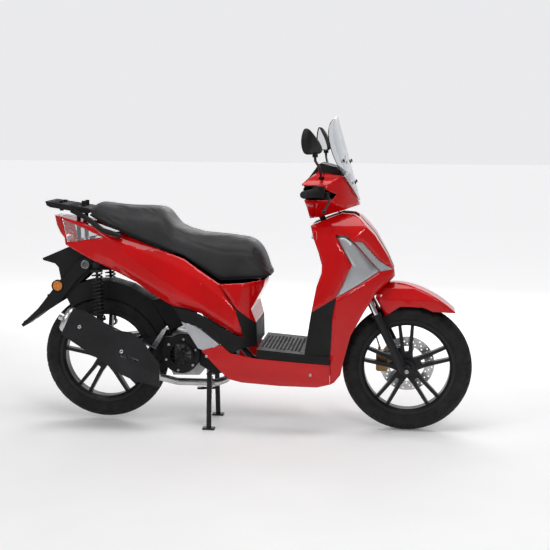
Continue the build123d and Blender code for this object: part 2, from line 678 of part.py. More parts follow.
with BuildPart() as cvt_case:
    with BuildSketch(Plane.XZ.offset(-132)):
        with Locations(flat([(0, rear_axle_z)])[0]):
            Circle(70)
        with Locations(flat([(352, 322)])[0]):
            Circle(92)
        with BuildLine():
            Polyline(*flat([(-6, rear_axle_z + 70), (345, 414), (352, 230), (8, rear_axle_z - 70)]), close=True)
        make_face()
    extrude(amount=68)
    with BuildSketch(Plane.XZ.offset(-127)):
        with Locations(flat([(0, rear_axle_z)])[0]):
            Circle(64)
        with Locations(flat([(352, 322)])[0]):
            Circle(86)
        with BuildLine():
            Polyline(*flat([(-6, rear_axle_z + 64), (345, 408), (352, 236), (8, rear_axle_z - 64)]), close=True)
        make_face()
    extrude(amount=57, mode=Mode.SUBTRACT)
    crossbar((0, rear_axle_z), 22, 120, 64)
    crossbar((0, rear_axle_z), 10.05, 92, 60, mode=Mode.SUBTRACT)
    crossbar((258, 330), 15, 132, 96)
    crossbar((258, 330), 8.05, 140, 104, mode=Mode.SUBTRACT)

with BuildPart() as fan_cover:
    crossbar(fan_centre, 82, -78, -134)
    crossbar(fan_centre, 77, -60, -129, mode=Mode.SUBTRACT)
    crossbar(fan_centre, 56, -134, -142)
    crossbar(fan_centre, 48, -128, -146, mode=Mode.SUBTRACT)
    side_plate([(430, 384), (500, 372), (560, 352), (566, 258), (508, 240), (438, 282)], -62, -104)
    side_plate([(440, 378), (500, 366), (554, 346), (560, 263), (508, 246), (444, 288)], -60, -99,
               mode=Mode.SUBTRACT)
    crossbar(fan_centre, 77, -60, -129, mode=Mode.SUBTRACT)
    crossbar(fan_centre, 15, -60, -101, mode=Mode.SUBTRACT)
    crossbar(fan_centre, 13, -128, -138)
    for turn in range(0, 180, 30):
        with BuildSketch(Plane.XZ.offset(130)) as bar:
            with Locations(flat([fan_centre])[0]):
                Rectangle(104, 5, rotation=turn)
        extrude(bar.sketch, amount=5)

muffler_rear, muffler_front, muffler_y = (-118, 478), (214, 326), -182
with BuildPart() as exhaust:
    start, end = at(muffler_rear, muffler_y), at(muffler_front, muffler_y)
    can_plane = Plane(origin=start, x_dir=(0, 1, 0), z_dir=Vector(*end) - Vector(*start))
    can_length = (Vector(*end) - Vector(*start)).length
    with BuildSketch(can_plane):
        Ellipse(42, 58)
    extrude(amount=can_length)
    with BuildSketch(can_plane.offset(3)):
        Ellipse(39, 55)
    extrude(amount=can_length - 6, mode=Mode.SUBTRACT)
    with BuildSketch(can_plane.offset(-46)):
        Circle(17)
        Circle(14, mode=Mode.SUBTRACT)
    extrude(amount=46)
    with BuildSketch(can_plane.offset(-22)):
        Ellipse(36, 50)
    extrude(amount=22)
    with BuildSketch(can_plane.offset(-30)):
        Circle(14)
    extrude(amount=60, mode=Mode.SUBTRACT)
    tube([at((548, 249), -20), at((548, 205), -26), at((505, 194), -58), at((330, 194), -60),
          at((262, 226), -116), at((204, 318), -164)], 16, 18)
    rod(at((548, 243), -20), at((548, 249), -20), 26)
    side_plate([(216, 352), (272, 432), (290, 432), (240, 340)], -84, -90)

with BuildPart() as muffler_shield:
    side_plate([(-141, 425), (-88, 535), (-41, 531), (9, 504), (99, 448), (165, 441), (215, 405), (288, 307),
                (285, 206), (180, 231), (115, 258), (65, 293), (-50, 366)], -227, -232)
    side_plate([(118, 345), (196, 322), (190, 312), (116, 334)], -220, -240, mode=Mode.SUBTRACT)
    for spot in ((-58, 460), (124, 358)):
        crossbar(spot, 6, -224, -236)
    add(exhaust.part, mode=Mode.SUBTRACT)

with BuildPart() as swing_arm:
    side_plate([(-24, 272), (-26, 318), (30, 338), (236, 396), (320, 396), (320, 280), (236, 290), (60, 268)],
               -62, -76)
    side_plate([(40, 296), (60, 286), (220, 318), (230, 366), (60, 312)], -60, -80, mode=Mode.SUBTRACT)
    crossbar((0, rear_axle_z), 24, -60, -80)
    side_plate([(-14, 318), (-18, 425), (0, 443), (18, 425), (22, 334)], -62, -76)
    crossbar((0, rear_axle_z), 10.05, -50, -90, mode=Mode.SUBTRACT)
    crossbar(shock_foot, 7, -60, -shock_y - 14)
with BuildPart() as rear_hugger:
    hugger_side = [(-184, 590), (-120, 618), (-65, 633), (34, 636), (120, 612), (212, 556), (280, 440),
                   (240, 400), (0, 420), (-150, 520)]
    side_plate(hugger_side, 55, -55)
    side_plate(hugger_side, 52, -52, inset=3, mode=Mode.SUBTRACT)
    crossbar((0, rear_axle_z), 290, 52, -52, mode=Mode.SUBTRACT)
    crossbar((0, rear_axle_z), 262, 80, -80, mode=Mode.SUBTRACT)

with BuildPart() as kick_lever:
    crossbar((258, 330), 8, 154, 112)
    rod(at((258, 330), 148), at((118, 392), 148), 7)
    rod(at((118, 392), 141), at((118, 392), 182), 8)

# ---------------------------------------------------------------- rear shocks
shock_direction = Vector(*at(shock_top)) - Vector(*at(shock_foot))
shock_length = shock_direction.length


def shock_point(distance, side):
    """A point on a shock's axis, measured up from its foot."""
    return tuple(Vector(*at(shock_foot, side * shock_y)) + shock_direction.normalized() * distance)


with BuildPart() as shock_rods:
    for side in (-1, 1):
        rod(shock_point(120, side), shock_point(shock_length - 12, side), 6)
        rod(shock_point(shock_length - 34, side), shock_point(shock_length - 24, side), 26)
        crossbar(shock_top, 15, side * shock_y + 11, side * shock_y - 11)
        crossbar(shock_top, 7.05, side * shock_y + 30, side * shock_y - 30, mode=Mode.SUBTRACT)
with BuildPart() as shock_bodies:
    for side in (-1, 1):
        rod(shock_point(14, side), shock_point(170, side), 14)
        rod(shock_point(44, side), shock_point(52, side), 26)
        crossbar(shock_foot, 17, side * shock_y + 11, side * shock_y - 11)
        crossbar(shock_foot, 9, side * shock_y + 30, side * shock_y - 30, mode=Mode.SUBTRACT)
        rod(shock_point(60, side), shock_point(180, side), 8, mode=Mode.SUBTRACT)
        rod(shock_point(165, side), shock_point(170, side), 13)
        rod(shock_point(160, side), shock_point(175, side), 6.05, mode=Mode.SUBTRACT)
spring_low, spring_high = 53, 255
with BuildPart() as shock_springs:
    for side in (-1, 1):
        coil_plane = Plane(origin=shock_point(spring_low + 4, side), z_dir=shock_direction)
        turn = Helix(pitch=16, height=spring_high - spring_low - 9, radius=21)
        turn = turn.moved(coil_plane.location)
        with BuildSketch(Plane(origin=turn @ 0, z_dir=turn % 0)) as wire:
            Circle(3.6)
        sweep(wire.sketch, path=turn, is_frenet=True)

# ---------------------------------------------------------------- centre stand
stand_foot_y = 124
with BuildPart() as centre_stand:
    crossbar(stand_pivot, 12, 104, -104)
    for side in (-1, 1):
        rod(at(stand_pivot, side * 98), at((481, 8), side * stand_foot_y), 11)
        with Locations(at((481, 4), side * stand_foot_y)):
            Box(52, 34, 8)
    rod(at((481, 130), 110), at((400, 116), 150), 6)
    with Locations(at((396, 116), 152)):
        Box(30, 26, 8)

# ---------------------------------------------------------------- handlebar and controls
bar_end, bar_bend = at((907, 1043), handlebar_half_width), at((957, 1046), 215)
bar_direction = (Vector(*bar_bend) - Vector(*bar_end)).normalized()


def bar_point(distance, side):
    """A point on the handlebar's axis, measured inwards from its end."""
    point = Vector(*bar_end) + bar_direction * distance
    return (point.X, side * point.Y, point.Z)


def mirrored_rod(low, high, side, radius, mode=Mode.ADD):
    """A round bar along the handlebar between two distances from its end."""
    rod(bar_point(low, side), bar_point(high, side), radius, mode=mode)


mirror_base = (966, 1096)
mirror_yaw = (950, 1210)
mirror_stem = [(mirror_base, 152), ((962, 1150), 232), ((mirror_yaw[0], 1178), 300), (mirror_yaw, 300)]
with BuildPart() as handlebar:
    tube([at((932, 980), 0), at((955, 1036), 92), bar_point(150, 1), bar_point(4, 1)], 11, 25)
    tube([at((932, 980), 0), at((955, 1036), -92), bar_point(150, -1), bar_point(4, -1)], 11, 25)
    rod(on_axis(948), on_axis(990), 19)
    rod(on_axis(900), on_axis(985), 13, mode=Mode.SUBTRACT)
    for side in (-1, 1):
        mirrored_rod(0, 9, side, 14)
        tube([at(point, side * y) for point, y in mirror_stem], 5.5, [30, 16])
        rod(at((966, 1046), side * 150), at((966, 1092), side * 150), 7)

with BuildPart() as left_grip:
    mirrored_rod(10, 120, 1, 17)
    mirrored_rod(116, 120, 1, 21)
    mirrored_rod(8, 130, 1, 11, mode=Mode.SUBTRACT)
with BuildPart() as throttle_grip:
    mirrored_rod(10, 120, -1, 17)
    mirrored_rod(116, 120, -1, 21)
    mirrored_rod(8, 130, -1, 11.05, mode=Mode.SUBTRACT)

# Switch boxes, with pockets for the starter, horn and turn-signal switches.
box_centre = bar_point(148, 1)
starter_spot = (box_centre[0], -box_centre[1], box_centre[2] - 4)
horn_spot = (box_centre[0], box_centre[1], box_centre[2] - 14)
signal_spot = (box_centre[0], box_centre[1], box_centre[2] + 10)
button_face = box_centre[0] - 26
with BuildPart() as switch_boxes:
    for side in (-1, 1):
        with Locations((box_centre[0], side * box_centre[1], box_centre[2])):
            Box(50, 34, 46)
        mirrored_rod(100, 200, side, 11, mode=Mode.SUBTRACT)
    fillet(edges().filter_by(Axis.Y), 5)
    for spot in (starter_spot, horn_spot):
        rod((button_face - 4, spot[1], spot[2]), (button_face + 11, spot[1], spot[2]), 6.3,
            mode=Mode.SUBTRACT)
    with Locations((button_face + 4, signal_spot[1], signal_spot[2])):
        Box(11, 23, 7.6, mode=Mode.SUBTRACT)

button_travel = 3
with BuildPart() as starter_button:
    rod((button_face - button_travel, *starter_spot[1:]), (button_face + 7, *starter_spot[1:]), 6)
with BuildPart() as horn_button:
    rod((button_face - button_travel, *horn_spot[1:]), (button_face + 7, *horn_spot[1:]), 6)
with BuildPart() as turn_switch:
    with Locations((button_face + 1, signal_spot[1], signal_spot[2])):
        Box(14, 12, 7)

# Brake levers, each on a bracket with the master cylinder.
lever_pivot_spot = (box_centre[0] + 34, box_centre[1] - 2, box_centre[2] - 14)
lever_tip = at((990, 975), 332)


def build_lever(side):
    """A brake lever from its pivot eye to the ball at its tip."""
    pivot = (lever_pivot_spot[0], side * lever_pivot_spot[1], lever_pivot_spot[2])
    tip = (lever_tip[0], side * lever_tip[1], lever_tip[2])
    middle = (pivot[0] + 16, side * (abs(pivot[1]) + 44), pivot[2] - 14)
    with BuildPart() as lever:
        tube([pivot, middle, tip], 5, 40)
        with Locations(tip):
            Sphere(8)
        rod((pivot[0], pivot[1], pivot[2] - 6), (pivot[0], pivot[1], pivot[2] + 6), 9)
        rod((pivot[0], pivot[1], pivot[2] - 9), (pivot[0], pivot[1], pivot[2] + 9), 3.05, mode=Mode.SUBTRACT)
    return lever.part


brake_lever_right = build_lever(-1)
brake_lever_left = build_lever(1)
with BuildPart() as lever_brackets:
    for side in (-1, 1):
        x, y, z = lever_pivot_spot[0], side * lever_pivot_spot[1], lever_pivot_spot[2]
        rod((x, y, z - 12), (x, y, z + 12), 3)
        for level in (-11, 11):
            with Locations((x - 2, y - side * 4, z + level)):
                Box(12, 24, 4)
        with Locations((x - 8, y - side * 26, z)):
            Box(34, 20, 26)
        mirrored_rod(100, 220, side, 11, mode=Mode.SUBTRACT)

# Handlebar cover in two halves, the instrument hood and the windscreen.
cover_side = [(886, 1078), (896, 1010), (912, 926), (960, 934), (1013, 952), (1081, 974), (1121, 984),
              (1099, 1045), (1056, 1109), (945, 1124)]
cover_plan = [(870, 196), (930, 200), (985, 188), (1045, 140), (1095, 78), (1130, 20)]
cover_view = [(50, 890), (78, 925), (128, 975), (184, 1020), (188, 1060), (130, 1112), (70, 1135)]
cover_room_view = [(47, 892), (75.5, 927.5), (125.5, 977.5), (181, 1022), (185, 1060), (128, 1109),
                   (69, 1132)]
dash_side = [(886, 1079), (908, 1100), (950, 1158), (962, 1160), (1022, 1145), (1060, 1119), (1050, 1100),
             (960, 1096), (900, 1066)]
bar_window = [(860, 1070), (950, 1070), (1030, 1034), (1012, 1014), (940, 1010), (860, 1012)]
seam = [(860, 1200), (1000, 1200), (958, 1060), (940, 985), (925, 880), (860, 880)]
cover_outer = envelope(cover_side, cover_plan, cover_view, 860, 1140, 0)
with BuildPart() as cover_room:
    side_plate(cover_side, 240, -240, inset=panel)
    plan_prism(cover_plan, 150, 1200, inset=panel, mode=Mode.INTERSECT)
    front_prism(cover_room_view, 860, 1140, mode=Mode.INTERSECT)


def cover_half(keep):
    """One half of the handlebar cover's shell, in front of or behind the seam."""
    with BuildPart() as half:
        add(cover_outer)
        add(cover_room.part, mode=Mode.SUBTRACT)
        if keep == "rear":
            side_plate(seam, 240, -240, inset=gap / 2, mode=Mode.INTERSECT)
        else:
            side_plate(seam, 240, -240, inset=-gap / 2, mode=Mode.SUBTRACT)
        side_plate(dash_side, 96, -96, inset=-gap, mode=Mode.SUBTRACT)
        side_plate(bar_window, 240, 104, mode=Mode.SUBTRACT)
        side_plate(bar_window, -104, -240, mode=Mode.SUBTRACT)
        rod(on_axis(880), on_axis(960), 32, mode=Mode.SUBTRACT)
        rod(at((1022, 975), -20), at((1040, 925), 14), 8, mode=Mode.SUBTRACT)
        for side in (-1, 1):
            rod(at((966, 1040), side * 150), at((966, 1130), side * 150), 12, mode=Mode.SUBTRACT)
    return half.part


bar_cover_front = cover_half("front")
bar_cover_rear = cover_half("rear")
with BuildPart() as dash:
    side_plate(dash_side, 94, -94)
    side_plate([(905, 1088), (950, 1150), (960, 1150), (1015, 1136), (1040, 1118), (960, 1104)], 88, -88,
               mode=Mode.SUBTRACT)

screen_foot, screen_top = (1122, 1004), (1022, 1356)
with BuildPart() as windscreen:
    rise = Vector(screen_top[0] - screen_foot[0], 0, screen_top[1] - screen_foot[1])
    with BuildSketch(Plane(origin=at(screen_foot), x_dir=(0, 1, 0), z_dir=rise)):
        with BuildLine():
            ThreePointArc((-178, 52), (0, 0), (178, 52))
            Line((178, 52), (178, 55))
            ThreePointArc((178, 55), (0, 3), (-178, 55))
            Line((-178, 55), (-178, 52))
        make_face()
    extrude(amount=rise.length)
    front_prism([(24, 1004), (84, 1040), (130, 1096), (168, 1170), (176, 1240), (150, 1315),
                 (90, 1346), (20, 1354)], 900, 1200, mode=Mode.INTERSECT)


def build_mirror(side):
    """A mirror head turned a little towards the rider, with a socket for its stem."""
    centre = at((940, 1256), side * 316)
    facing = (-cos(radians(24)), -side * sin(radians(24)), 0)
    with BuildPart() as mirror_head:
        head_plane = Plane(origin=centre, x_dir=(facing[1], -facing[0], 0), z_dir=facing)
        with BuildSketch(head_plane):
            RectangleRounded(150, 104, 34)
        extrude(amount=12)
        with BuildSketch(head_plane):
            RectangleRounded(150, 104, 34)
        extrude(amount=-20, taper=28)
        rod(at((mirror_yaw[0], 1192), side * 300), at((mirror_yaw[0], 1218), side * 300), 10)
        rod(at((mirror_yaw[0], 1190), side * 300), at((mirror_yaw[0], 1213), side * 300), 5.55,
            mode=Mode.SUBTRACT)
    return mirror_head.part


mirror_right = build_mirror(-1)
mirror_left = build_mirror(1)

# Brake hose from the right-hand lever's master cylinder to the caliper on the left leg.
hose_route = [(lever_pivot_spot[0], 37 - lever_pivot_spot[1], lever_pivot_spot[2]),
              at((1004, 1030), -128), at((1012, 1012), -72), at((1022, 975), -24), at((1040, 925), 16),
              at((1066, 862), 42), at((1098, 790), 50), at((1136, 718), 50), at((1172, 668), 50),
              at((1184, 618), 54), at((1180, 556), 58), at((1178, 490), 59), at((1190, 420), 59),
              at((1213, 353), hose_y)]
hose_radii = []
for before, here, after in zip(hose_route, hose_route[1:], hose_route[2:]):
    first, second = Vector(*here) - Vector(*before), Vector(*after) - Vector(*here)
    half_turn = radians(first.get_angle(second)) / 2
    hose_radii.append(0.45 * min(first.length, second.length) / tan(half_turn))
print("hose bend radii", [round(radius) for radius in hose_radii])
with BuildPart() as front_brake_hose:
    with BuildLine() as hose_path:
        FilletPolyline(*hose_route, radius=hose_radii)
    with BuildSketch(Plane(origin=hose_path.line @ 0, z_dir=hose_path.line % 0)):
        Circle(3.2)
    sweep()

# Ignition lock barrel, turning in its bore in the leg shield.
with BuildPart() as ignition_barrel:
    rod(tuple(lock_foot), tuple(lock_foot + lock_direction * 46), 13)

pieces = {
    "front_tyre": front_tyre,
    "rear_tyre": rear_tyre,
    "front_rim": front_rim,
    "rear_rim": rear_rim.part,
    "front_disc": front_disc.part,
    "fork_tubes": fork_tubes.part,
    "fork_lowers": fork_lowers.part,
    "front_caliper": front_caliper.part,
    "steering_stem": steering_stem.part,
    "front_fender": front_fender.part,
    "frame": frame.part,
    "front_apron": front_apron.part,
    "arrow_trims": arrow_trims.part,
    "headlights": headlights.part,
    "leg_shield": leg_shield.part,
    "floor_panel": floor_panel.part,
    "side_sills": side_sills.part,
    "luggage_rack": luggage_rack.part,
    "side_panel_right": side_panel_right.part,
    "side_panel_left": side_panel_left.part,
    "tail_light": tail_light,
    "seat_cowl": seat_cowl.part,
    "lower_trims": lower_trims.part,
    "side_vents": side_vents.part,
    "rear_mudguard": rear_mudguard.part,
    "seat_cushion": seat_cushion.part,
    "seat_base": seat_base.part,
    "storage_bucket": storage_bucket.part,
    "fuel_tank": fuel_tank.part,
    "glovebox_lid": glovebox_lid.part,
    "crankcase": crankcase.part,
    "cvt_case": cvt_case.part,
    "fan_cover": fan_cover.part,
    "exhaust": exhaust.part,
    "muffler_shield": muffler_shield.part,
    "swing_arm": swing_arm.part,
    "rear_hugger": rear_hugger.part,
    "kick_lever": kick_lever.part,
    "shock_rods": shock_rods.part,
    "shock_bodies": shock_bodies.part,
    "shock_springs": shock_springs.part,
    "centre_stand": centre_stand.part,
    "handlebar": handlebar.part,
    "left_grip": left_grip.part,
    "throttle_grip": throttle_grip.part,
    "switch_boxes": switch_boxes.part,
    "starter_button": starter_button.part,
    "horn_button": horn_button.part,
    "turn_switch": turn_switch.part,
    "brake_lever_right": brake_lever_right,
    "brake_lever_left": brake_lever_left,
    "lever_brackets": lever_brackets.part,
    "bar_cover_front": bar_cover_front,
    "bar_cover_rear": bar_cover_rear,
    "dash": dash.part,
    "windscreen": windscreen.part,
    "mirror_right": mirror_right,
    "mirror_left": mirror_left,
    "front_brake_hose": front_brake_hose.part,
    "ignition_barrel": ignition_barrel.part,
}
for name, piece in pieces.items():
    finish(piece, name)
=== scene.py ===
from math import cos, hypot, pi, radians, sin

import bmesh
import bpy
from mathutils import Matrix, Vector


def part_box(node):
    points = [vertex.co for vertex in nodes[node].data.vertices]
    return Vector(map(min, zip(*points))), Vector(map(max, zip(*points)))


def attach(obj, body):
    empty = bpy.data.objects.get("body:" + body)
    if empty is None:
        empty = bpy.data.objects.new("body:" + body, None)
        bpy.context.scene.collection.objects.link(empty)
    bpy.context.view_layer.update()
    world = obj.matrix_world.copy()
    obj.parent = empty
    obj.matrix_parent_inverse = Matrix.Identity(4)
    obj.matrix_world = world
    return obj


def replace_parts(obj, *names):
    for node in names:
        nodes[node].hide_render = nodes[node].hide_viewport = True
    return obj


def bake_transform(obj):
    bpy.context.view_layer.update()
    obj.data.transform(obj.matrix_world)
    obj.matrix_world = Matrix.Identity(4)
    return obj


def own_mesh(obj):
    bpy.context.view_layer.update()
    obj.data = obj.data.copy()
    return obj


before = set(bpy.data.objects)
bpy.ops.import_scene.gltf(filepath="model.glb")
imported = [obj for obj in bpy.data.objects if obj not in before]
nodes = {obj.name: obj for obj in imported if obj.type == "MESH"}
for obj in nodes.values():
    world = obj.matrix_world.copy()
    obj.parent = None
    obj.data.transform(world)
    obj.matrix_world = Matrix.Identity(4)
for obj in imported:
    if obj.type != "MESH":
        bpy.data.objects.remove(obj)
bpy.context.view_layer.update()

# ------------------------------------------------------------------ places, in metres
# Stations are distances ahead of the rear axle, as in the design.
rear_low, rear_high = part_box("rear_rim")
rear_axle = Vector(((rear_low.x + rear_high.x) / 2, 0, (rear_low.z + rear_high.z) / 2))
front_low, front_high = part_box("front_rim")
front_axle = Vector(((front_low.x + front_high.x) / 2, 0, (front_low.z + front_high.z) / 2))
tyre_radius = (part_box("front_tyre")[1].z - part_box("front_tyre")[0].z) / 2
tyre_half_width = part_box("front_tyre")[1].y
sides = ((-1, "right"), (1, "left"))
merge_distance = 0.00002


def at(station, height, y=0.0):
    """A point from millimetres: station ahead of the rear axle, height and Y."""
    return Vector((rear_axle.x + station / 1000, y / 1000, height / 1000))


# ------------------------------------------------------------------ materials
class Maker:
    """Builds one node material on a Principled shader."""

    def __init__(self, name, colour, roughness, metallic=0.0, **sockets):
        self.material = bpy.data.materials.new(name)
        self.material.use_nodes = True
        self.nodes = self.material.node_tree.nodes
        self.links = self.material.node_tree.links
        self.shader = self.nodes["Principled BSDF"]
        self.shader.inputs["Base Color"].default_value = (*colour, 1)
        self.shader.inputs["Roughness"].default_value = roughness
        self.shader.inputs["Metallic"].default_value = metallic
        for key, value in sockets.items():
            self.shader.inputs[key.replace("_", " ")].default_value = value
        self.place = self.nodes.new("ShaderNodeTexCoord").outputs["Object"]
        self.last_normal = None

    def noise(self, scale, detail=3.0, stretch=(1, 1, 1)):
        """Noise over the surface, in repeats per metre."""
        mapping = self.nodes.new("ShaderNodeMapping")
        mapping.inputs["Scale"].default_value = stretch
        texture = self.nodes.new("ShaderNodeTexNoise")
        texture.inputs["Scale"].default_value = scale
        texture.inputs["Detail"].default_value = detail
        self.links.new(self.place, mapping.inputs["Vector"])
        self.links.new(mapping.outputs["Vector"], texture.inputs["Vector"])
        return texture.outputs["Fac"]

    def cells(self, scale):
        """Cell distance of a Voronoi pattern, for grain and pebbled surfaces."""
        texture = self.nodes.new("ShaderNodeTexVoronoi")
        texture.inputs["Scale"].default_value = scale
        self.links.new(self.place, texture.inputs["Vector"])
        return texture.outputs["Distance"]

    def spread(self, value, low, high):
        """Map a 0.3 to 0.7 pattern to a range."""
        node = self.nodes.new("ShaderNodeMapRange")
        node.inputs["From Min"].default_value = 0.3
        node.inputs["From Max"].default_value = 0.7
        node.inputs["To Min"].default_value = low
        node.inputs["To Max"].default_value = high
        self.links.new(value, node.inputs["Value"])
        return node.outputs["Result"]

    def tint(self, value, dark, light):
        """Colour that moves between two tones with a pattern."""
        ramp = self.nodes.new("ShaderNodeValToRGB")
        ramp.color_ramp.elements[0].position = 0.3
        ramp.color_ramp.elements[1].position = 0.7
        ramp.color_ramp.elements[0].color = (*dark, 1)
        ramp.color_ramp.elements[1].color = (*light, 1)
        self.links.new(value, ramp.inputs["Fac"])
        self.links.new(ramp.outputs["Color"], self.shader.inputs["Base Color"])
        return self

    def rough(self, value, low, high):
        """Roughness that moves between two values with a pattern."""
        self.links.new(self.spread(value, low, high), self.shader.inputs["Roughness"])
        return self

    def bump(self, value, strength, distance):
        """Surface relief from a pattern, added to any relief given before."""
        node = self.nodes.new("ShaderNodeBump")
        node.inputs["Strength"].default_value = strength
        node.inputs["Distance"].default_value = distance
        self.links.new(value, node.inputs["Height"])
        if self.last_normal is not None:
            self.links.new(self.last_normal, node.inputs["Normal"])
        self.last_normal = node.outputs["Normal"]
        self.links.new(self.last_normal, self.shader.inputs["Normal"])
        return self


def paint(name, dark, light):
    """Gloss body colour under clear coat, with faint orange peel and dust."""
    maker = Maker(name, light, 0.32, Coat_Weight=0.7, Coat_Roughness=0.03, Specular_IOR_Level=0.08)
    maker.tint(maker.noise(3.0), dark, light)
    maker.rough(maker.noise(40, 4), 0.28, 0.38)
    maker.bump(maker.noise(160, 2), 0.03, 0.0004)
    return maker.material


def moulded(name, dark, light, rough=(0.5, 0.65), grain=900, depth=0.25):
    """Textured moulded plastic."""
    maker = Maker(name, light, rough[0], Specular_IOR_Level=0.22)
    maker.tint(maker.noise(9, 4), dark, light)
    maker.rough(maker.noise(25, 4), *rough)
    maker.bump(maker.noise(grain, 2), depth, 0.0003)
    return maker.material


def metal(name, dark, light, rough=(0.25, 0.4), grain=600, stretch=(1, 1, 1), depth=0.08, metallic=1.0):
    """Metal with tone, roughness and surface variation."""
    maker = Maker(name, light, rough[0], metallic)
    maker.tint(maker.noise(14, 5), dark, light)
    maker.rough(maker.noise(60, 4, stretch), *rough)
    maker.bump(maker.noise(grain, 3, stretch), depth, 0.0003)
    return maker.material


def lens(name, colour, transmission=0.9, rough=0.04, **sockets):
    """Clear or tinted moulded lens."""
    maker = Maker(name, colour, rough, Transmission_Weight=transmission, IOR=1.49, Coat_Weight=0.5,
                  Coat_Roughness=0.03, **sockets)
    maker.rough(maker.noise(30, 3), rough, rough + 0.04)
    return maker.material


def vinyl():
    """Seat cover: fine pebbled grain, soft sheen."""
    maker = Maker("seat_vinyl", (0.03, 0.03, 0.032), 0.55, Sheen_Weight=0.08, Sheen_Roughness=0.5,
                  Specular_IOR_Level=0.3)
    maker.tint(maker.noise(7, 5), (0.012, 0.012, 0.013), (0.024, 0.024, 0.026))
    maker.rough(maker.noise(30, 4), 0.48, 0.62)
    maker.bump(maker.cells(420), 0.35, 0.0006)
    maker.bump(maker.noise(1400, 2), 0.2, 0.0002)
    return maker.material


def tyre_rubber():
    """Dull, slightly dusty rubber."""
    maker = Maker("tyre_rubber", (0.02, 0.02, 0.02), 0.75, Specular_IOR_Level=0.25)
    maker.tint(maker.noise(18, 5), (0.007, 0.007, 0.007), (0.018, 0.0175, 0.017))
    maker.rough(maker.noise(50, 4), 0.65, 0.85)
    maker.bump(maker.noise(700, 3), 0.3, 0.0004)
    return maker.material


RED = paint("red_paint", (0.47, 0.001, 0.002), (0.56, 0.0015, 0.003))
BLACK = moulded("black_plastic", (0.005, 0.005, 0.0055), (0.010, 0.010, 0.011))
GLOSS_BLACK = moulded("gloss_black_plastic", (0.008, 0.008, 0.009), (0.014, 0.014, 0.015),
                      (0.12, 0.2), 300, 0.05)
GREY = moulded("grey_plastic", (0.10, 0.10, 0.105), (0.16, 0.16, 0.165))
SILVER = metal("silver_paint", (0.42, 0.43, 0.45), (0.52, 0.53, 0.55), (0.28, 0.36), 1500, depth=0.05,
               metallic=0.65)
VINYL = vinyl()
TYRE = tyre_rubber()
RUBBER = moulded("black_rubber", (0.010, 0.010, 0.010), (0.022, 0.022, 0.022), (0.7, 0.85), 1200, 0.3)
BLACK_ALLOY = moulded("black_alloy_paint", (0.010, 0.010, 0.011), (0.020, 0.020, 0.022),
                      (0.25, 0.38), 900, 0.08)
ALLOY = metal("bare_cast_alloy", (0.30, 0.30, 0.31), (0.50, 0.50, 0.51), (0.38, 0.6), 500, depth=0.3)
CHROME = metal("chrome", (0.75, 0.75, 0.77), (0.85, 0.85, 0.86), (0.05, 0.12), 300, depth=0.02)
STEEL = metal("brushed_steel", (0.45, 0.45, 0.46), (0.62, 0.62, 0.63), (0.22, 0.4), 400, (1, 1, 12), 0.1)
BLACK_METAL = moulded("black_metal_paint", (0.010, 0.010, 0.011), (0.022, 0.022, 0.024),
                      (0.3, 0.45), 700, 0.12)
BRONZE = metal("bronze_caliper_paint", (0.20, 0.12, 0.05), (0.32, 0.21, 0.10), (0.35, 0.5), 600, depth=0.15)
CLEAR = lens("clear_lens", (0.93, 0.94, 0.95))
SCREEN = lens("screen_acrylic", (0.74, 0.76, 0.78), 1.0, 0.02)
RED_LENS = lens("red_lens", (0.75, 0.01, 0.01), 0.6, 0.08)
AMBER = lens("amber_reflector_lens", (0.95, 0.28, 0.02), 0.35, 0.12)
MIRROR = metal("mirror_glass", (0.88, 0.89, 0.90), (0.92, 0.93, 0.94), (0.01, 0.02), 100, depth=0.0)

finishes = {
    RED: ["front_apron", "leg_shield", "side_sills", "side_panel_right", "side_panel_left", "seat_cowl",
          "front_fender", "bar_cover_front", "bar_cover_rear", "glovebox_lid"],
    BLACK: ["floor_panel", "lower_trims", "rear_mudguard", "storage_bucket", "rear_hugger", "dash",
            "luggage_rack", "fuel_tank", "seat_base", "switch_boxes", "mirror_right", "mirror_left",
            "fan_cover"],
    SILVER: ["arrow_trims", "side_vents"],
    CLEAR: ["headlights", "tail_light"],
    SCREEN: ["windscreen"],
    VINYL: ["seat_cushion"],
    TYRE: ["front_tyre", "rear_tyre"],
    BLACK_ALLOY: ["front_rim", "rear_rim", "fork_lowers", "steering_stem", "swing_arm", "muffler_shield"],
    ALLOY: ["crankcase", "cvt_case"],
    CHROME: ["fork_tubes"],
    STEEL: ["front_disc", "ignition_barrel", "exhaust"],
    BLACK_METAL: ["shock_rods", "shock_springs", "frame", "handlebar", "centre_stand", "kick_lever",
                  "shock_bodies", "brake_lever_right", "brake_lever_left", "lever_brackets"],
    BRONZE: ["front_caliper"],
    RUBBER: ["left_grip", "throttle_grip", "front_brake_hose"],
    RED_LENS: ["starter_button"],
    GREY: ["horn_button", "turn_switch"],
}
for finish_material, names in finishes.items():
    for name in names:
        nodes[name].data.materials.clear()
        nodes[name].data.materials.append(finish_material)


# ------------------------------------------------------------------ stage, light and camera
def floor_paint():
    """Pale matt floor with a painted glow: its emission brightens it gently towards the backdrop."""
    maker = Maker("pale_floor", (0.9, 0.9, 0.9), 0.7, Specular_IOR_Level=0.2)
    maker.shader.inputs["Emission Color"].default_value = (0.97, 0.97, 0.98, 1)
    maker.tint(maker.noise(3.0), (0.88, 0.88, 0.88), (0.91, 0.91, 0.91))
    parts = maker.nodes.new("ShaderNodeSeparateXYZ")
    spread = maker.nodes.new("ShaderNodeMapRange")
    spread.interpolation_type = "SMOOTHSTEP"
    spread.inputs["From Min"].default_value = -0.5
    spread.inputs["From Max"].default_value = 4.0
    spread.inputs["To Min"].default_value = 0.05
    spread.inputs["To Max"].default_value = 0.62
    maker.links.new(maker.place, parts.inputs["Vector"])
    maker.links.new(parts.outputs["Y"], spread.inputs["Value"])
    # Painted light: the emission strength grows towards the back, a glow that stands in for the lit backdrop.
    maker.links.new(spread.outputs["Result"], maker.shader.inputs["Emission Strength"])
    return maker.material


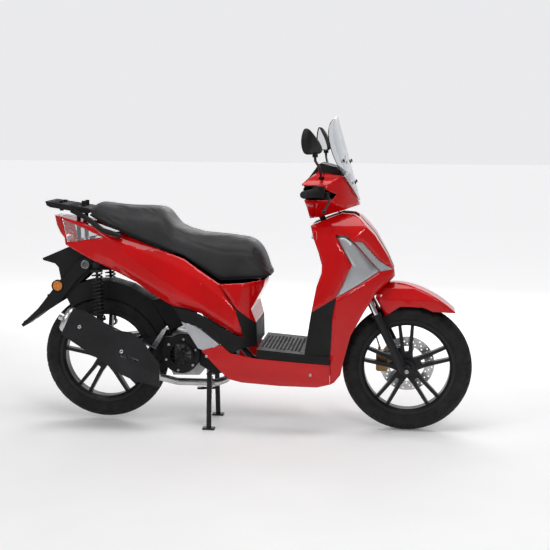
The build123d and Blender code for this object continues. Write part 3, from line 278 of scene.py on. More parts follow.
def build_stage():
    """A wide floor, and a studio sky that is bright behind the scooter and dim in front of it."""
    mesh = bpy.data.meshes.new("floor")
    reach = 30
    mesh.from_pydata([(-reach, -reach, 0), (reach, -reach, 0), (reach, reach, 0), (-reach, reach, 0)], [],
                     [(0, 1, 2, 3)])
    floor = bpy.data.objects.new("floor", mesh)
    floor.data.materials.append(floor_paint())
    bpy.context.scene.collection.objects.link(floor)
    world = bpy.data.worlds.new("studio")
    bpy.context.scene.world = world
    world.use_nodes = True
    tree = world.node_tree
    background = tree.nodes["Background"]
    background.inputs["Color"].default_value = (0.96, 0.96, 0.98, 1)
    place = tree.nodes.new("ShaderNodeTexCoord")
    parts = tree.nodes.new("ShaderNodeSeparateXYZ")
    spread = tree.nodes.new("ShaderNodeMapRange")
    spread.interpolation_type = "SMOOTHSTEP"
    spread.inputs["From Min"].default_value = 0.35
    spread.inputs["From Max"].default_value = 0.9
    spread.inputs["To Min"].default_value = 0.20
    spread.inputs["To Max"].default_value = 0.86
    tree.links.new(place.outputs["Generated"], parts.inputs["Vector"])
    tree.links.new(parts.outputs["Y"], spread.inputs["Value"])
    tree.links.new(spread.outputs["Result"], background.inputs["Strength"])


def soft_light(name, place, target, size, power):
    """A rectangular lamp aimed at a target."""
    lamp = bpy.data.lights.new(name, "AREA")
    lamp.shape = "RECTANGLE"
    lamp.size, lamp.size_y = size
    lamp.energy = power
    light = bpy.data.objects.new(name, lamp)
    light.location = place
    light.rotation_euler = (Vector(target) - Vector(place)).to_track_quat("-Z", "Y").to_euler()
    bpy.context.scene.collection.objects.link(light)


def build_camera():
    """The scene camera, looking at the right side from a little ahead and above."""
    yaw, pitch, roll = 0.1169, 0.1364, 0.005
    data = bpy.data.cameras.new("camera")
    data.sensor_width = 36
    data.lens = 74.76
    camera = bpy.data.objects.new("camera", data)
    place = Matrix.Translation((rear_axle.x + 1.331, -4.9104, 1.3473))
    aim = Matrix.Rotation(yaw, 4, "Z") @ Matrix.Rotation(pi / 2 - pitch, 4, "X")
    turn = aim @ Matrix.Rotation(roll, 4, "Z")
    camera.matrix_world = place @ turn
    bpy.context.scene.collection.objects.link(camera)
    bpy.context.scene.camera = camera


bpy.context.scene.view_settings.view_transform = "Standard"
build_stage()
soft_light("top_light", (0.2, -0.6, 3.4), (0, 0, 0.5), (3.2, 1.6), 62)
soft_light("key_light", (1.8, -3.4, 2.5), (0.2, 0, 0.6), (0.9, 0.6), 40)
soft_light("left_light", (-2.6, -2.6, 2.2), (-0.3, 0, 0.6), (1.2, 1.6), 26)
soft_light("back_light", (0.5, 3.2, 2.4), (0, 0, 0.7), (3.0, 1.2), 50)
build_camera()

# ------------------------------------------------------------------ mesh tools
def add_mesh(name, vertices, faces, body, material, smooth=True):
    """A piece from vertices and faces, riding on a body."""
    mesh = bpy.data.meshes.new(name)
    mesh.from_pydata([tuple(v) for v in vertices], [], faces)
    mesh.validate()
    tidy = bmesh.new()
    tidy.from_mesh(mesh)
    bmesh.ops.remove_doubles(tidy, verts=tidy.verts, dist=merge_distance)
    bmesh.ops.recalc_face_normals(tidy, faces=tidy.faces)
    tidy.to_mesh(mesh)
    tidy.free()
    if smooth:
        mesh.shade_smooth()
    piece = bpy.data.objects.new(name, mesh)
    bpy.context.scene.collection.objects.link(piece)
    mesh.materials.append(material)
    if body:
        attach(piece, body)
    return piece


def ring_faces(ring_count, size, wrap=False, caps=True):
    """Faces that join closed rings of points in order."""
    faces = []
    last = ring_count if wrap else ring_count - 1
    for i in range(last):
        a, b = i * size, ((i + 1) % ring_count) * size
        for j in range(size):
            k = (j + 1) % size
            faces.append((a + j, a + k, b + k, b + j))
    if caps and not wrap:
        faces.append(tuple(range(size)))
        faces.append(tuple(reversed(range((ring_count - 1) * size, ring_count * size))))
    return faces


def loft(name, rings, body, material, wrap=False, caps=True, smooth=True):
    """A skin over closed rings of points."""
    points = [point for ring in rings for point in ring]
    faces = ring_faces(len(rings), len(rings[0]), wrap, caps)
    return add_mesh(name, points, faces, body, material, smooth)


def lathe(name, profile, centre, body, material, axis=(0, 1, 0), steps=96, smooth=True):
    """Turn a closed (along, radius) profile about an axis through a centre."""
    along = Vector(axis).normalized()
    across = along.orthogonal().normalized()
    other = along.cross(across)
    rings = []
    for step in range(steps):
        angle = 2 * pi * step / steps
        outward = across * cos(angle) + other * sin(angle)
        rings.append([Vector(centre) + along * u + outward * r for u, r in profile])
    return loft(name, rings, body, material, wrap=True, smooth=smooth)


def soften(piece, width, segments=2, angle=30):
    """Round a piece's sharp edges."""
    bevel = piece.modifiers.new("rounded_edges", "BEVEL")
    bevel.width = width
    bevel.segments = segments
    bevel.limit_method = "ANGLE"
    bevel.angle_limit = radians(angle)
    bevel.harden_normals = True
    return piece


def prism(name, outline, y_low, y_high, body, material, bevel=0.0015):
    """A flat side-view outline of (station, height) points, in millimetres, between two Y planes."""
    rings = [[at(station, height, y) for station, height in outline] for y in (y_low, y_high)]
    piece = loft(name, rings, body, material, smooth=False)
    return soften(piece, bevel)


def bolt(name, centre, axis, radius, height, body, material=STEEL):
    """A domed cap screw with a hexagon socket, seated on a surface."""
    socket = radius * 0.45
    profile = [(-height * 0.5, 0.0002), (-height * 0.5, radius), (height * 0.55, radius),
               (height * 0.85, radius * 0.86), (height, radius * 0.62), (height, socket),
               (height * 0.4, socket * 0.95), (height * 0.4, 0.0002)]
    return lathe(name, profile, centre, body, material, axis=axis, steps=24)


def interpolate(table, x):
    """Straight-line value from a table of (x, value) pairs."""
    for (x0, v0), (x1, v1) in zip(table, table[1:]):
        if x <= x1:
            t = max(0.0, min(1.0, (x - x0) / (x1 - x0)))
            return v0 + (v1 - v0) * t
    return table[-1][1]


def smooth_table(table, x, reach):
    """Table value averaged over a short stretch, so that corners are rounded."""
    return sum(interpolate(table, x + reach * k / 4) for k in range(-4, 5)) / 9


# ------------------------------------------------------------------ tyres
def build_tyre(name, centre, body):
    """A tyre with a cut tread, shoulder sipes, side-wall rings and beads."""
    steps, tread_repeats = 576, 36
    crown, flank = 21, 7
    half = tyre_half_width
    bead_radius, bead_half = 0.2085, 0.0345
    shoulder_angle, shoulder_drop = radians(62), 0.030
    shoulder_share = 0.985

    def outer(u):
        """Radius and Y of the outer skin, u from -1 at one shoulder to 1 at the other."""
        angle = u * shoulder_angle
        radius = tyre_radius - shoulder_drop * (1 - cos(angle)) / (1 - cos(shoulder_angle))
        return radius, half * shoulder_share * sin(angle) / sin(shoulder_angle)

    rings = []
    for step in range(steps):
        turn = 2 * pi * step / steps
        outward = Vector((cos(turn), 0, sin(turn)))
        ring = []
        repeat = tread_repeats * step / steps
        for k in range(crown):
            u = -1 + 2 * k / (crown - 1)
            radius, y = outer(u)
            phase = (repeat + 0.55 * abs(u) + (0.5 if u > 0 else 0.0)) % 1.0
            groove = 0.0042 if phase < 0.17 and 0.14 < abs(u) < 0.93 else 0.0
            groove = max(groove, 0.0038 if abs(u) < 0.06 else 0.0)
            ring.append((radius - groove, y))
        side = []
        for k in range(1, flank + 1):
            t = k / flank
            radius = (tyre_radius - shoulder_drop) * (1 - t) + bead_radius * t
            bulge = shoulder_share + 0.015 * sin(pi * min(1, t * 2))
            fall = (1 - t) ** 0.35
            y = half * bulge * fall + bead_half * (1 - fall)
            step_in = 0.0009 if k in (2, 4) else 0.0
            side.append((radius, y - step_in))
        inner = [(bead_radius - 0.0045, 0.030), (bead_radius + 0.004, 0.024), (bead_radius + 0.004, -0.024),
                 (bead_radius - 0.0045, -0.030)]
        far = [(r, -y) for r, y in reversed(side)]
        outline = ring + side + inner + far
        rings.append([centre + outward * r + Vector((0, y, 0)) for r, y in outline])
    return loft(name, rings, body, TYRE, wrap=True)


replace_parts(build_tyre("front_tyre_tread", front_axle, "front_wheel"), "front_tyre")
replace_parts(build_tyre("rear_tyre_tread", rear_axle, "rear_wheel"), "rear_tyre")

# ------------------------------------------------------------------ seat
seat_top = [(-40, 956), (-30, 974), (-12, 985), (20, 982), (130, 964), (215, 963), (268, 961), (292, 946),
            (312, 912), (330, 886), (375, 866), (440, 850), (552, 842), (640, 837), (680, 823), (702, 802),
            (720, 768), (734, 730), (742, 700), (745, 684)]
seat_foot = [(-40, 931), (33, 898), (105, 868), (245, 816), (378, 767), (470, 706), (534, 664), (640, 668),
             (745, 675)]
seat_half = [(-40, 92), (-20, 116), (30, 138), (60, 149), (200, 160), (330, 153), (450, 143), (560, 138),
             (650, 127), (700, 108), (730, 84), (745, 60)]


def seat_levels(station):
    """Heights of the seat's crown and foot, and its half width, in millimetres."""
    top = smooth_table(seat_top, station, 8)
    foot = smooth_table(seat_foot, station, 5)
    half = smooth_table(seat_half, station, 14)
    return top, foot, half


def seat_ring(station, count):
    """One closed section of the seat across the scooter, from the foot over the crown."""
    top, foot, half = seat_levels(station)
    crown_drop = 7
    ring = []
    upper = count * 3 // 4
    for k in range(upper):
        angle = pi * k / (upper - 1)
        y = half * (1 if cos(angle) > 0 else -1) * abs(cos(angle)) ** 0.72
        z = foot + (top - foot) * abs(sin(angle)) ** 0.50
        z -= crown_drop * (abs(y) / half) ** 2
        ring.append(at(station, max(z, foot), y))
    lower = count - upper
    for k in range(1, lower + 1):
        share = k / (lower + 1)
        ring.append(at(station, foot - 1.0, -half * 0.97 * (1 - 2 * share)))
    return ring


def inflate(piece, pinned, pressure, cap):
    """Cloth pass: the cover swells a little over its foam, except where it is fixed to the base."""
    start = [vertex.co.copy() for vertex in piece.data.vertices]
    group = piece.vertex_groups.new(name="fixed")
    group.add(pinned, 1.0, "REPLACE")
    cloth = piece.modifiers.new("cloth", "CLOTH")
    cloth.settings.vertex_group_mass = "fixed"
    cloth.settings.use_pressure = True
    cloth.settings.uniform_pressure_force = pressure
    cloth.settings.tension_stiffness = 40
    cloth.settings.compression_stiffness = 40
    cloth.settings.bending_stiffness = 6
    cloth.settings.effector_weights.gravity = 0
    last_frame = 16
    cloth.point_cache.frame_start, cloth.point_cache.frame_end = 1, last_frame
    for step in range(1, last_frame + 1):
        bpy.context.scene.frame_set(step)
    solved = piece.evaluated_get(bpy.context.evaluated_depsgraph_get())
    moved = [vertex.co.copy() for vertex in solved.data.vertices]
    piece.modifiers.remove(cloth)
    piece.vertex_groups.clear()
    for vertex, before, after in zip(piece.data.vertices, start, moved):
        step = after - before
        if step.length > cap:
            step = step.normalized() * cap
        vertex.co = before + step
    bpy.context.scene.frame_set(1)


def build_seat():
    """The seat cover as a soft, crowned form, with its seam drawn in after the cloth pass."""
    count, sections = 84, 150
    first, last = -40, 745
    rings = [seat_ring(first + (last - first) * i / (sections - 1), count) for i in range(sections)]
    seat = loft("seat_cover", rings, None, VINYL)
    floor_like = [v.index for v in seat.data.vertices
                  if v.co.z * 1000 < smooth_table(seat_foot, (v.co.x - rear_axle.x) * 1000, 5) + 4]
    inflate(seat, floor_like, 1.6, 0.005)
    # A shallow sewn line between the top panel and the side panels.
    step_station, seam_reach, seam_depth = 330, 9, 0.0022
    for vertex in seat.data.vertices:
        station = (vertex.co.x - rear_axle.x) * 1000
        top, foot, half = seat_levels(station)
        rise = (vertex.co.z * 1000 - foot) / max(top - foot, 1)
        level = 0.66 if station > step_station else 0.72
        off = (rise - level) * (top - foot)
        if abs(off) < seam_reach and abs(vertex.co.y * 1000) > half * 0.55:
            depth = seam_depth if vertex.co.y > 0 else -seam_depth
            vertex.co.y -= depth * (1 - (off / seam_reach) ** 2)
    divide = seat.modifiers.new("finer", "SUBSURF")
    divide.levels = divide.render_levels = 1
    bpy.context.view_layer.objects.active = seat
    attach(seat, "seat")
    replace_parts(seat, "seat_cushion")


build_seat()

# ------------------------------------------------------------------ lights and reflectors
def cut_copy(name, node, body, material, point, normal):
    """A copy of the half of a CAD node that lies behind a plane, with its cut closed."""
    mesh = nodes[node].data.copy()
    work = bmesh.new()
    work.from_mesh(mesh)
    bmesh.ops.remove_doubles(work, verts=work.verts, dist=merge_distance)
    everything = work.verts[:] + work.edges[:] + work.faces[:]
    cut = bmesh.ops.bisect_plane(work, geom=everything, plane_co=point, plane_no=normal, clear_outer=True)
    rim = [edge for edge in cut["geom_cut"] if isinstance(edge, bmesh.types.BMEdge)]
    bmesh.ops.holes_fill(work, edges=rim, sides=0)
    work.to_mesh(mesh)
    work.free()
    mesh.materials.clear()
    mesh.materials.append(material)
    piece = bpy.data.objects.new(name, mesh)
    bpy.context.scene.collection.objects.link(piece)
    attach(piece, body)
    return piece


lens_split = at(-160, 850)
split_normal = Vector((1, 0, 0.25))
tail_red = cut_copy("tail_lens_red", "tail_light", "chassis", RED_LENS, lens_split,
                    split_normal)
tail_clear = cut_copy("tail_lens_clear", "tail_light", "chassis", CLEAR, lens_split,
                      -split_normal)
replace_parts(tail_red, "tail_light")
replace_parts(tail_clear, "tail_light")

for side, word in sides:
    centre = at(-203, 610, side * 71)
    lathe(f"reflector_{word}", [(0.0, 0.0002), (0.0, 0.0225), (0.002, 0.0225), (0.0034, 0.019),
                                (0.004, 0.010), (0.0042, 0.0002)], centre, "chassis", AMBER,
          axis=(0, side, 0), steps=48)
    lathe(f"reflector_rim_{word}", [(-0.004, 0.0215), (0.0035, 0.0222), (0.0042, 0.0235), (0.0030, 0.0268),
                                    (-0.004, 0.0268)], centre, "chassis", BLACK,
          axis=(0, side, 0), steps=48)

# ------------------------------------------------------------------ exhaust
can_rear, can_front = at(-118, 478, -182), at(214, 326, -182)
can_axis = (can_front - can_rear).normalized()
can_up = can_axis.cross(Vector((0, -1, 0))).normalized()
if can_up.z < 0:
    can_up = -can_up


def can_ring(along, half_width, half_height, count=64):
    """An oval section of the muffler."""
    centre = can_rear + can_axis * along
    return [centre + Vector((0, 1, 0)) * (half_width * cos(2 * pi * k / count))
            + can_up * (half_height * sin(2 * pi * k / count)) for k in range(count)]


cap_stages = [(0.010, 0.0425, 0.0585), (0.010, 0.0438, 0.0598), (-0.006, 0.0438, 0.0598),
              (-0.018, 0.0405, 0.0560), (-0.0235, 0.0350, 0.0490), (-0.0245, 0.0240, 0.0330),
              (-0.0205, 0.0190, 0.0200)]
loft("muffler_end_cap", [can_ring(*stage) for stage in cap_stages], "engine_unit", STEEL,
     caps=False)
for i, (station, height) in enumerate(((-58, 460), (124, 358))):
    bolt(f"shield_bolt_{i}", at(station, height, -236), (0, -1, 0), 0.0085, 0.004, "engine_unit")

# ------------------------------------------------------------------ fasteners
sill_skin = 205.3
for i, (station, height) in enumerate(((486, 341), (930, 273))):
    for side, word in sides:
        place = at(station, height, side * sill_skin)
        bolt(f"sill_screw_{word}_{i}", place, (0, side, 0), 0.006, 0.0025, "chassis")


# ------------------------------------------------------------------ floor mat
def floor_height(station):
    """Height of the floor panel's top, in millimetres."""
    return 376 - (station - 700) * 24 / 310


def build_mat():
    """Raised rubber treads on the floor, in staggered rows."""
    points, faces = [], []
    row = 0
    for station in range(712, 884, 16):
        reach = 150 if station > 760 else 150 - (760 - station) * 0.5
        y = -reach + (8 if row % 2 else 0)
        while y + 18 <= reach:
            low, high = floor_height(station), floor_height(station + 9)
            base = len(points)
            for lift, edge in ((0.0, 0.0), (2.4, 1.2)):
                rear, front = station + edge, station + 9 - edge
                points += [at(rear, low + lift, y + edge), at(front, high + lift, y + edge),
                           at(front, high + lift, y + 17 - edge), at(rear, low + lift, y + 17 - edge)]
            faces += [(base, base + 1, base + 5, base + 4), (base + 1, base + 2, base + 6, base + 5),
                      (base + 2, base + 3, base + 7, base + 6), (base + 3, base, base + 4, base + 7),
                      (base + 4, base + 5, base + 6, base + 7), (base + 3, base + 2, base + 1, base)]
            y += 23
        row += 1
    return add_mesh("floor_mat_treads", points, faces, "chassis", RUBBER, smooth=False)


build_mat()

# ------------------------------------------------------------------ handlebar details
bar_outer, bar_inner = at(907, 1043, 350), at(957, 1046, 215)


def bar_point(distance, side):
    """A point on the handlebar's axis, measured inwards from its end in millimetres."""
    point = bar_outer + (bar_inner - bar_outer).normalized() * (distance / 1000)
    return Vector((point.x, side * point.y, point.z))


def build_grip(side, body, name, node):
    """A moulded grip with ribs, a flange and a rounded end."""
    profile = [(0.010, 0.0116), (0.010, 0.0158), (0.012, 0.0168)]
    for k in range(24):
        along = 0.014 + k * 0.0041
        profile += [(along, 0.0168), (along + 0.0006, 0.0155), (along + 0.0014, 0.0155),
                    (along + 0.0020, 0.0168)]
    profile += [(0.1150, 0.0168), (0.1160, 0.0205), (0.1170, 0.0210), (0.1195, 0.0210), (0.1200, 0.0200),
                (0.1200, 0.0116)]
    start = bar_point(0, side)
    axis = bar_point(100, side) - start
    piece = lathe(name, profile, start, body, RUBBER, axis=axis, steps=56)
    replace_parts(piece, node)


build_grip(1, "steering", "ribbed_grip_left", "left_grip")
build_grip(-1, "throttle", "ribbed_grip_throttle", "throttle_grip")

window = [(896, 1060), (950, 1070), (990, 1060), (1028, 1036), (1020, 1022), (985, 1008), (930, 1006),
          (894, 1020)]
cover_half_width = [(880, 184), (960, 180), (1000, 168), (1030, 146)]
window_middle = (958, 1037)
for side, word in sides:
    stages = []
    for grow, y in ((1.06, 178), (1.02, 150), (0.92, 128), (0.80, 118)):
        ring = []
        for station, height in window:
            limit = min(y, interpolate(cover_half_width, station))
            ring.append(at(window_middle[0] + (station - window_middle[0]) * grow,
                           window_middle[1] + (height - window_middle[1]) * grow, side * limit))
        stages.append(ring)
    loft(f"bar_recess_{word}", stages, "steering", BLACK, caps=False, smooth=False)


# ------------------------------------------------------------------ mirrors
leaf = [(-73, 2), (-64, 32), (-46, 51), (-26, 44), (8, 22), (44, -4), (70, -32), (72, -46), (54, -51),
        (6, -52), (-40, -50), (-64, -30)]
leaf_half_width, leaf_half_height = 74, 51
glass_stages = [(0.0070, 0.0688, 0.0468), (0.0092, 0.0688, 0.0468)]


def spline(a, b, c, d, t):
    """Catmull-Rom value between b and c, t from 0 to 1."""
    return 0.5 * (2 * b + (c - a) * t + (2 * a - 5 * b + 4 * c - d) * t ** 2
                  + (3 * b - a - 3 * c + d) * t ** 3)


def round_outline(points, steps):
    """A smooth closed curve through (x, y) points."""
    curve = []
    for i in range(len(points)):
        a, b, c, d = (points[(i + k) % len(points)] for k in (-1, 0, 1, 2))
        for k in range(steps):
            curve.append(tuple(spline(a[n], b[n], c[n], d[n], k / steps) for n in (0, 1)))
    return curve


def build_mirror(side, word):
    """A leaf-shaped mirror head with a thin rim and its glass set in."""
    centre = at(940, 1256, side * 316)
    toe_in = radians(24)
    facing = Vector((-cos(toe_in), -side * sin(toe_in), 0))
    inboard = Vector((-side * facing.y, side * facing.x, 0))
    up = Vector((0, 0, 1))
    outline = round_outline(leaf, 5)

    def ring(offset, width, height):
        points = [centre + facing * offset + inboard * (w * width / leaf_half_width)
                  + up * (v * height / leaf_half_height) for w, v in outline]
        return points if side < 0 else points[::-1]

    stages = [(0.0085, 0.0690, 0.0470), (0.0110, 0.0705, 0.0485), (0.0120, 0.0730, 0.0505),
              (0.0090, 0.0745, 0.0515), (0.0, 0.0742, 0.0512), (-0.008, 0.0690, 0.0465),
              (-0.014, 0.0570, 0.0370), (-0.018, 0.0360, 0.0230), (-0.0195, 0.0120, 0.0080)]
    body = f"mirror_head_{word}"
    shell = loft(f"mirror_shell_{word}", [ring(*stage) for stage in stages], body, BLACK)
    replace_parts(shell, f"mirror_{word}")
    loft(f"mirror_glass_{word}", [ring(*stage) for stage in glass_stages], body, MIRROR,
         smooth=False)
    hub = at(950, 1192, side * 300)
    lathe(f"mirror_neck_{word}", [(0.0, 0.0058), (0.0, 0.0105), (0.002, 0.0115), (0.012, 0.0110),
                                  (0.024, 0.0095), (0.026, 0.0058)], hub, body, BLACK,
          axis=(0, 0, 1), steps=36)


for side, word in sides:
    build_mirror(side, word)

# ------------------------------------------------------------------ windscreen bolts
for side, word in sides:
    for i, (station, height, y) in enumerate(((1066, 1168, 62), (1043, 1172, 120), (1089, 1080, 60))):
        place = at(station + 12, height, side * y)
        bolt(f"screen_bolt_{word}_{i}", place, (0.95, 0, 0.28), 0.007, 0.004, "steering", BLACK)


# ------------------------------------------------------------------ brake hose
hose_points = [(992.4, 1032.1, -172), (1004, 1030, -128), (1012, 1012, -72), (1022, 975, -24),
               (1040, 925, 16), (1066, 862, 42), (1098, 790, 50), (1136, 718, 50), (1172, 668, 50),
               (1184, 618, 54), (1180, 556, 58), (1178, 490, 59), (1190, 420, 59), (1213, 353, 58)]
hose_radius = 0.0032


def build_hose():
    """The front brake hose along its route down past the fork, as a tube."""
    data = bpy.data.curves.new("brake_hose_line", "CURVE")
    data.dimensions = "3D"
    line = data.splines.new("NURBS")
    line.points.add(len(hose_points) - 1)
    for point, (station, height, y) in zip(line.points, hose_points):
        point.co = (*at(station, height, y), 1)
    line.order_u = 3
    line.use_endpoint_u = True
    line.resolution_u = 8
    data.bevel_depth = hose_radius
    data.bevel_resolution = 4
    data.use_fill_caps = True
    curve = bpy.data.objects.new("brake_hose_line", data)
    bpy.context.scene.collection.objects.link(curve)
    mesh = bpy.data.meshes.new_from_object(curve.evaluated_get(bpy.context.evaluated_depsgraph_get()))
    bpy.data.objects.remove(curve)
    mesh.name = "brake_hose"
    mesh.materials.clear()
    mesh.materials.append(RUBBER)
    mesh.shade_smooth()
    hose = bpy.data.objects.new("brake_hose", mesh)
    bpy.context.scene.collection.objects.link(hose)
    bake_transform(hose)
    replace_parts(hose, "front_brake_hose")


build_hose()


# ------------------------------------------------------------------ nose strip
def strip(name, line, half_width, lift, body, material):
    """A thin raised strip over the centre line of a (station, height) profile."""
    rings = []
    for i, (station, height) in enumerate(line):
        before, after = line[max(i - 1, 0)], line[min(i + 1, len(line) - 1)]
        run = Vector((after[0] - before[0], 0, after[1] - before[1])).normalized()
        outward = Vector((-run.z, 0, run.x))
        if outward.x < 0:
            outward = -outward
        base = at(station, height)
        taper = half_width * (0.45 if i in (0, len(line) - 1) else 1.0) / 1000
        rings.append([base + outward * up / 1000 + Vector((0, y * taper, 0))
                      for y, up in ((-1, -1.5), (-1, lift * 0.5), (-0.7, lift), (0.7, lift), (1, lift * 0.5),
                                    (1, -1.5))])
    return loft(name, rings, body, material)


strip("nose_strip", [(1118, 937), (1125, 932.5), (1157, 898), (1190, 861.5), (1218, 816), (1246, 769.5),
                     (1262, 735), (1271, 714)], 11, 1.6, "chassis", GLOSS_BLACK)

# ------------------------------------------------------------------ engine details
def bolt_circle(name, centre, radius, first, apart, count, outward):
    """Case bolts on an arc around a centre, from a first angle in degrees."""
    for k in range(count):
        turn = radians(first + apart * k)
        place = centre + Vector((radius * cos(turn), 0, radius * sin(turn)))
        bolt(f"{name}_{k}", place, (0, outward, 0), 0.0055, 0.004, "engine_unit")


bolt_circle("fan_bolt", at(361, 330, -134), 0.069, 20, 60, 6, -1)
bolt_circle("belt_case_bolt_front", at(352, 322, 132), 0.084, -80, 40, 5, 1)
bolt_circle("belt_case_bolt_rear", at(0, 295, 132), 0.062, 105, 50, 4, 1)
for k, (station, height, radius) in enumerate(((352, 322, 0.058), (352, 322, 0.030), (8, 295, 0.044))):
    centre = at(station, height, 132)
    lathe(f"belt_case_ring_{k}", [(-0.001, radius), (0.002, radius + 0.001), (0.003, radius + 0.003),
                                  (0.003, radius + 0.006), (0.002, radius + 0.008), (-0.001, radius + 0.009)],
          centre, "engine_unit", ALLOY, steps=72)
for k in range(5):
    offset = -24 + k * 12
    rib = [(82, 302 + offset), (262, 316 + offset), (262, 320 + offset), (82, 306 + offset)]
    prism(f"belt_case_rib_{k}", rib, 131, 134.5, "engine_unit", ALLOY, 0.0012)


# ------------------------------------------------------------------ springs and pads
def coil(name, start, end, radius, wire, turns, body, material):
    """A coil spring between two points."""
    along = end - start
    axis = along.normalized()
    across = axis.orthogonal().normalized()
    other = axis.cross(across)
    steps = int(turns * 20)
    rings = []
    for i in range(steps + 1):
        turn = 2 * pi * turns * i / steps
        outward = across * cos(turn) + other * sin(turn)
        centre = start + along * (i / steps) + outward * radius
        ahead = (across * -sin(turn) + other * cos(turn)) * radius * 2 * pi * turns + along
        side = ahead.normalized().cross(outward).normalized()
        rings.append([centre + (outward * cos(a) + side * sin(a)) * wire
                      for a in (2 * pi * k / 8 for k in range(8))])
    return loft(name, rings, body, material)


coil("stand_spring", at(486, 226, -70), at(482, 128, -96), 0.0065, 0.0014, 15, "stand", STEEL)
lathe("kick_pad", [(0.0, 0.0082), (0.0, 0.0118), (0.003, 0.0125), (0.010, 0.0118), (0.018, 0.0125),
                   (0.026, 0.0118), (0.034, 0.0125), (0.0365, 0.0110), (0.0365, 0.0082)],
      at(118, 392, 143), "kick_start", RUBBER, steps=36)

# ------------------------------------------------------------------ instruments
dial_axis = Vector((-0.85, 0, 0.53)).normalized()
dial_across = Vector((0, 1, 0))
dial_up = dial_axis.cross(dial_across).normalized()
if dial_up.z < 0:
    dial_up = -dial_up
dial_middle = at(944, 1118)
for k, (y, radius) in enumerate(((0, 0.036), (-56, 0.024), (56, 0.024))):
    centre = dial_middle + dial_across * (y / 1000)
    lathe(f"dial_bezel_{k}", [(-0.004, radius - 0.001), (0.004, radius), (0.005, radius + 0.002),
                              (0.003, radius + 0.0035), (-0.004, radius + 0.0035)],
          centre, "steering", CHROME, axis=dial_axis, steps=48)
    lathe(f"dial_face_{k}", [(-0.002, 0.0002), (-0.002, radius), (0.0, radius), (0.0, 0.0002)],
          centre, "steering", GLOSS_BLACK, axis=dial_axis, steps=48)
    marks, mark_faces = [], []
    for m in range(11):
        turn = radians(-40 + 26 * m)
        out = dial_across * cos(turn) + dial_up * sin(turn)
        tangent = dial_across * -sin(turn) + dial_up * cos(turn)
        base = len(marks)
        for reach in (0.78, 0.92):
            for edge in (-0.0007, 0.0007):
                marks.append(centre + dial_axis * 0.0006 + out * radius * reach + tangent * edge)
        mark_faces.append((base, base + 1, base + 3, base + 2))
    add_mesh(f"dial_marks_{k}", marks, mark_faces, "steering", GREY, smooth=False)


# ------------------------------------------------------------------ sculpted panels
def height_on(line, station):
    """Height of a (station, height) line at a station."""
    if station <= line[0][0]:
        return line[0][1]
    for (s0, z0), (s1, z1) in zip(line, line[1:]):
        if station <= s1:
            return z0 + (z1 - z0) * (station - s0) / (s1 - s0)
    return line[-1][1]


def sculpt(name, node, body, material, inset, edge=0.012, angle=32, replace=True):
    """A fine copy of a CAD panel. Its skin moves in by inset(station, height, distance from the middle)."""
    mesh = nodes[node].data.copy()
    work = bmesh.new()
    work.from_mesh(mesh)
    bmesh.ops.remove_doubles(work, verts=work.verts, dist=merge_distance)
    bmesh.ops.triangulate(work, faces=work.faces)
    for _ in range(9):
        long_edges = [e for e in work.edges if e.calc_length() > edge]
        if not long_edges:
            break
        bmesh.ops.subdivide_edges(work, edges=long_edges, cuts=1)
        bmesh.ops.triangulate(work, faces=work.faces)
    for vertex in work.verts:
        station = (vertex.co.x - rear_axle.x) * 1000
        move = inset(station, vertex.co.z * 1000, abs(vertex.co.y) * 1000) / 1000
        if vertex.co.y < 0:
            vertex.co.y = min(vertex.co.y + move, -0.002)
        else:
            vertex.co.y = max(vertex.co.y - move, 0.002)
    work.to_mesh(mesh)
    work.free()
    mesh.materials.clear()
    mesh.materials.append(material)
    mesh.shade_smooth()
    mesh.set_sharp_from_angle(angle=radians(angle))
    piece = bpy.data.objects.new(name, mesh)
    bpy.context.scene.collection.objects.link(piece)
    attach(piece, body)
    if replace:
        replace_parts(piece, node)
    return piece


upper_crease = [(-40, 868), (64, 827), (194, 778), (338, 722), (455, 665), (562, 582), (640, 500)]
lower_crease = [(-140, 826), (-21, 770), (56, 738), (127, 702), (322, 600), (456, 560), (606, 470)]


def panel_inset(station, height, width):
    """The side panels lean in above the upper crease and below the lower one."""
    fade = min(1, max(0, (station + 30) / 90)) * min(1, max(0, (width - 60) / 40))
    over = max(0, height - height_on(upper_crease, station) - 1)
    under = max(0, height_on(lower_crease, station) - height)
    return fade * (0.42 * over + 0.5 * under)


for word in ("right", "left"):
    sculpt(f"sculpted_side_panel_{word}", f"side_panel_{word}", "chassis", RED, panel_inset)

arrow_outline = [(1028, 861), (1071, 858), (1098, 842), (1130, 820), (1220, 712), (1133, 656), (1033, 597),
                 (1061, 659), (1100, 734), (1046, 832)]
arrow_ridge = [(1058, 852), (1109, 817), (1174, 719), (1222, 711)]


def edge_distance(line, station, height, closed=True):
    """Distance from a point to a (station, height) line."""
    ends = line[1:] + line[:1] if closed else line[1:]
    best = 1000
    for (s0, z0), (s1, z1) in zip(line, ends):
        run = (s1 - s0) ** 2 + (z1 - z0) ** 2
        t = min(1, max(0, ((station - s0) * (s1 - s0) + (height - z0) * (z1 - z0)) / run))
        best = min(best, hypot(station - s0 - t * (s1 - s0), height - z0 - t * (z1 - z0)))
    return best


def arrow_inset(station, height, width):
    """The silver arrows have bevelled edges, and a facet that leans in beyond their ridge."""
    bevel = max(0, 9 - edge_distance(arrow_outline, station, height)) * 0.7
    beyond = height > height_on(arrow_ridge, station)
    slope = edge_distance(arrow_ridge, station, height, closed=False) * 0.55 if beyond else 0
    return bevel + slope


def even_inset(depth):
    """The same inset everywhere, in millimetres."""
    return lambda station, height, width: depth


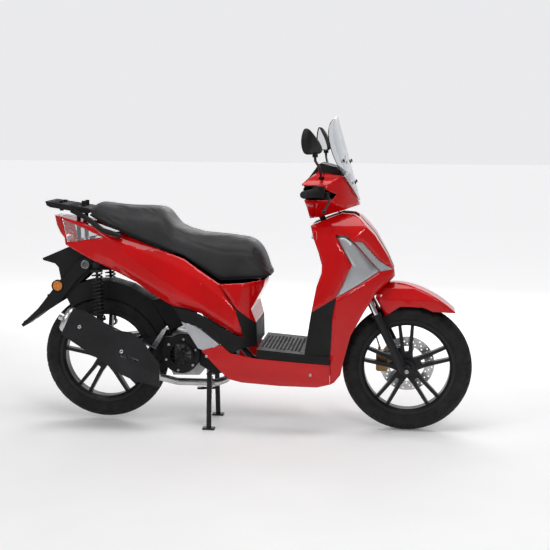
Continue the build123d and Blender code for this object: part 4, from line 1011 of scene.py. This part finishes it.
sculpt("sculpted_arrows", "arrow_trims", "chassis", SILVER, arrow_inset, 0.006, 14)
sculpt("lamp_reflectors", "headlights", "chassis", CHROME, even_inset(7), 0.02, 32,
       False)
for node, body in (("front_apron", "chassis"), ("leg_shield", "chassis"), ("seat_cowl", "chassis"),
                   ("front_fender", "steering"), ("bar_cover_front", "steering"),
                   ("bar_cover_rear", "steering")):
    sculpt(f"smooth_{node}", node, body, RED, even_inset(0), 0.028, 48)

# ------------------------------------------------------------------ spoke webs, painted-shade fillers, springs and axle nut
web = [(22, -20), (80, -21), (74, -13), (67, -7), (64, 0), (67, 7), (74, 13), (80, 21), (22, 20)]
web_half_thickness = 15
for word, centre, low, high in (("front", front_axle, front_low, front_high),
                                ("rear", rear_axle, rear_low, rear_high)):
    middle = (low[1] + high[1]) * 500
    for k in range(5):
        turn = radians(92 + 72 * k)
        outline = [((centre.x - rear_axle.x) * 1000 + r * cos(turn) - t * sin(turn),
                    centre.z * 1000 + r * sin(turn) + t * cos(turn)) for r, t in web]
        prism(f"{word}_spoke_web_{k}", outline, middle - web_half_thickness, middle + web_half_thickness,
              f"{word}_wheel", BLACK_ALLOY, 0.004)
# Black plates behind the floor seams are painted shade: dark sheets that stand in for the shaded inside seen
# through the gaps.
for side, word in sides:
    prism(f"painted_shade_seam_backing_{word}", [(992, 250), (1016, 250), (1016, 318), (992, 318)],
          min(side * 100, side * 96), max(side * 100, side * 96), "chassis", BLACK, 0.0005)
springs = sculpt("flexing_springs", "shock_springs", "shock_upper", BLACK_METAL,
                 even_inset(0), 1.0)
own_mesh(springs)
# A black sheet across the middle of the handlebar cover is painted shade: it stands in for the shaded inside
# seen through the grip openings.
prism("painted_shade_bar_wall", [(893, 1006), (1034, 1012), (1038, 1044), (990, 1068), (900, 1062)], -3, 3, "steering",
      BLACK)
nut_place = Vector((front_axle.x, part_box("fork_lowers")[0].y, front_axle.z))
bolt("front_axle_nut", nut_place, (0, -1, 0), 0.009, 0.004, "fork_slider")

# ------------------------------------------------------------------ plate-holder arms and air box
plate_arm = [(-81, 742), (-50, 735), (-40, 716), (-64, 679), (-101, 651), (-158, 583), (-203, 533),
             (-286, 480), (-345, 436), (-364, 437), (-364, 446), (-350, 455), (-286, 515), (-229, 579),
             (-176, 651), (-118, 722)]
for side, word in sides:
    prism(f"plate_arm_{word}", plate_arm, min(side * 61, side * 72), max(side * 61, side * 72), "chassis",
          BLACK, 0.004)
    lathe(f"plain_cap_{word}", [(-0.002, 0.0002), (-0.002, 0.0185), (0.001, 0.0190), (0.0025, 0.0180),
                                (0.0030, 0.0165), (0.0024, 0.0155), (0.0024, 0.0002)],
          at(-76, 708, side * 72), "chassis", GREY, axis=(0, side, 0), steps=40)
    lathe(f"plain_cap_ring_{word}", [(0.0020, 0.0160), (0.0034, 0.0166), (0.0034, 0.0176), (0.0020, 0.0182)],
          at(-76, 708, side * 72), "chassis", CHROME, axis=(0, side, 0), steps=40)
prism("air_box", [(206, 552), (262, 560), (330, 552), (392, 520), (404, 470), (300, 414), (286, 436),
                  (218, 540)], -58, 56, "engine_unit", BLACK, 0.008)
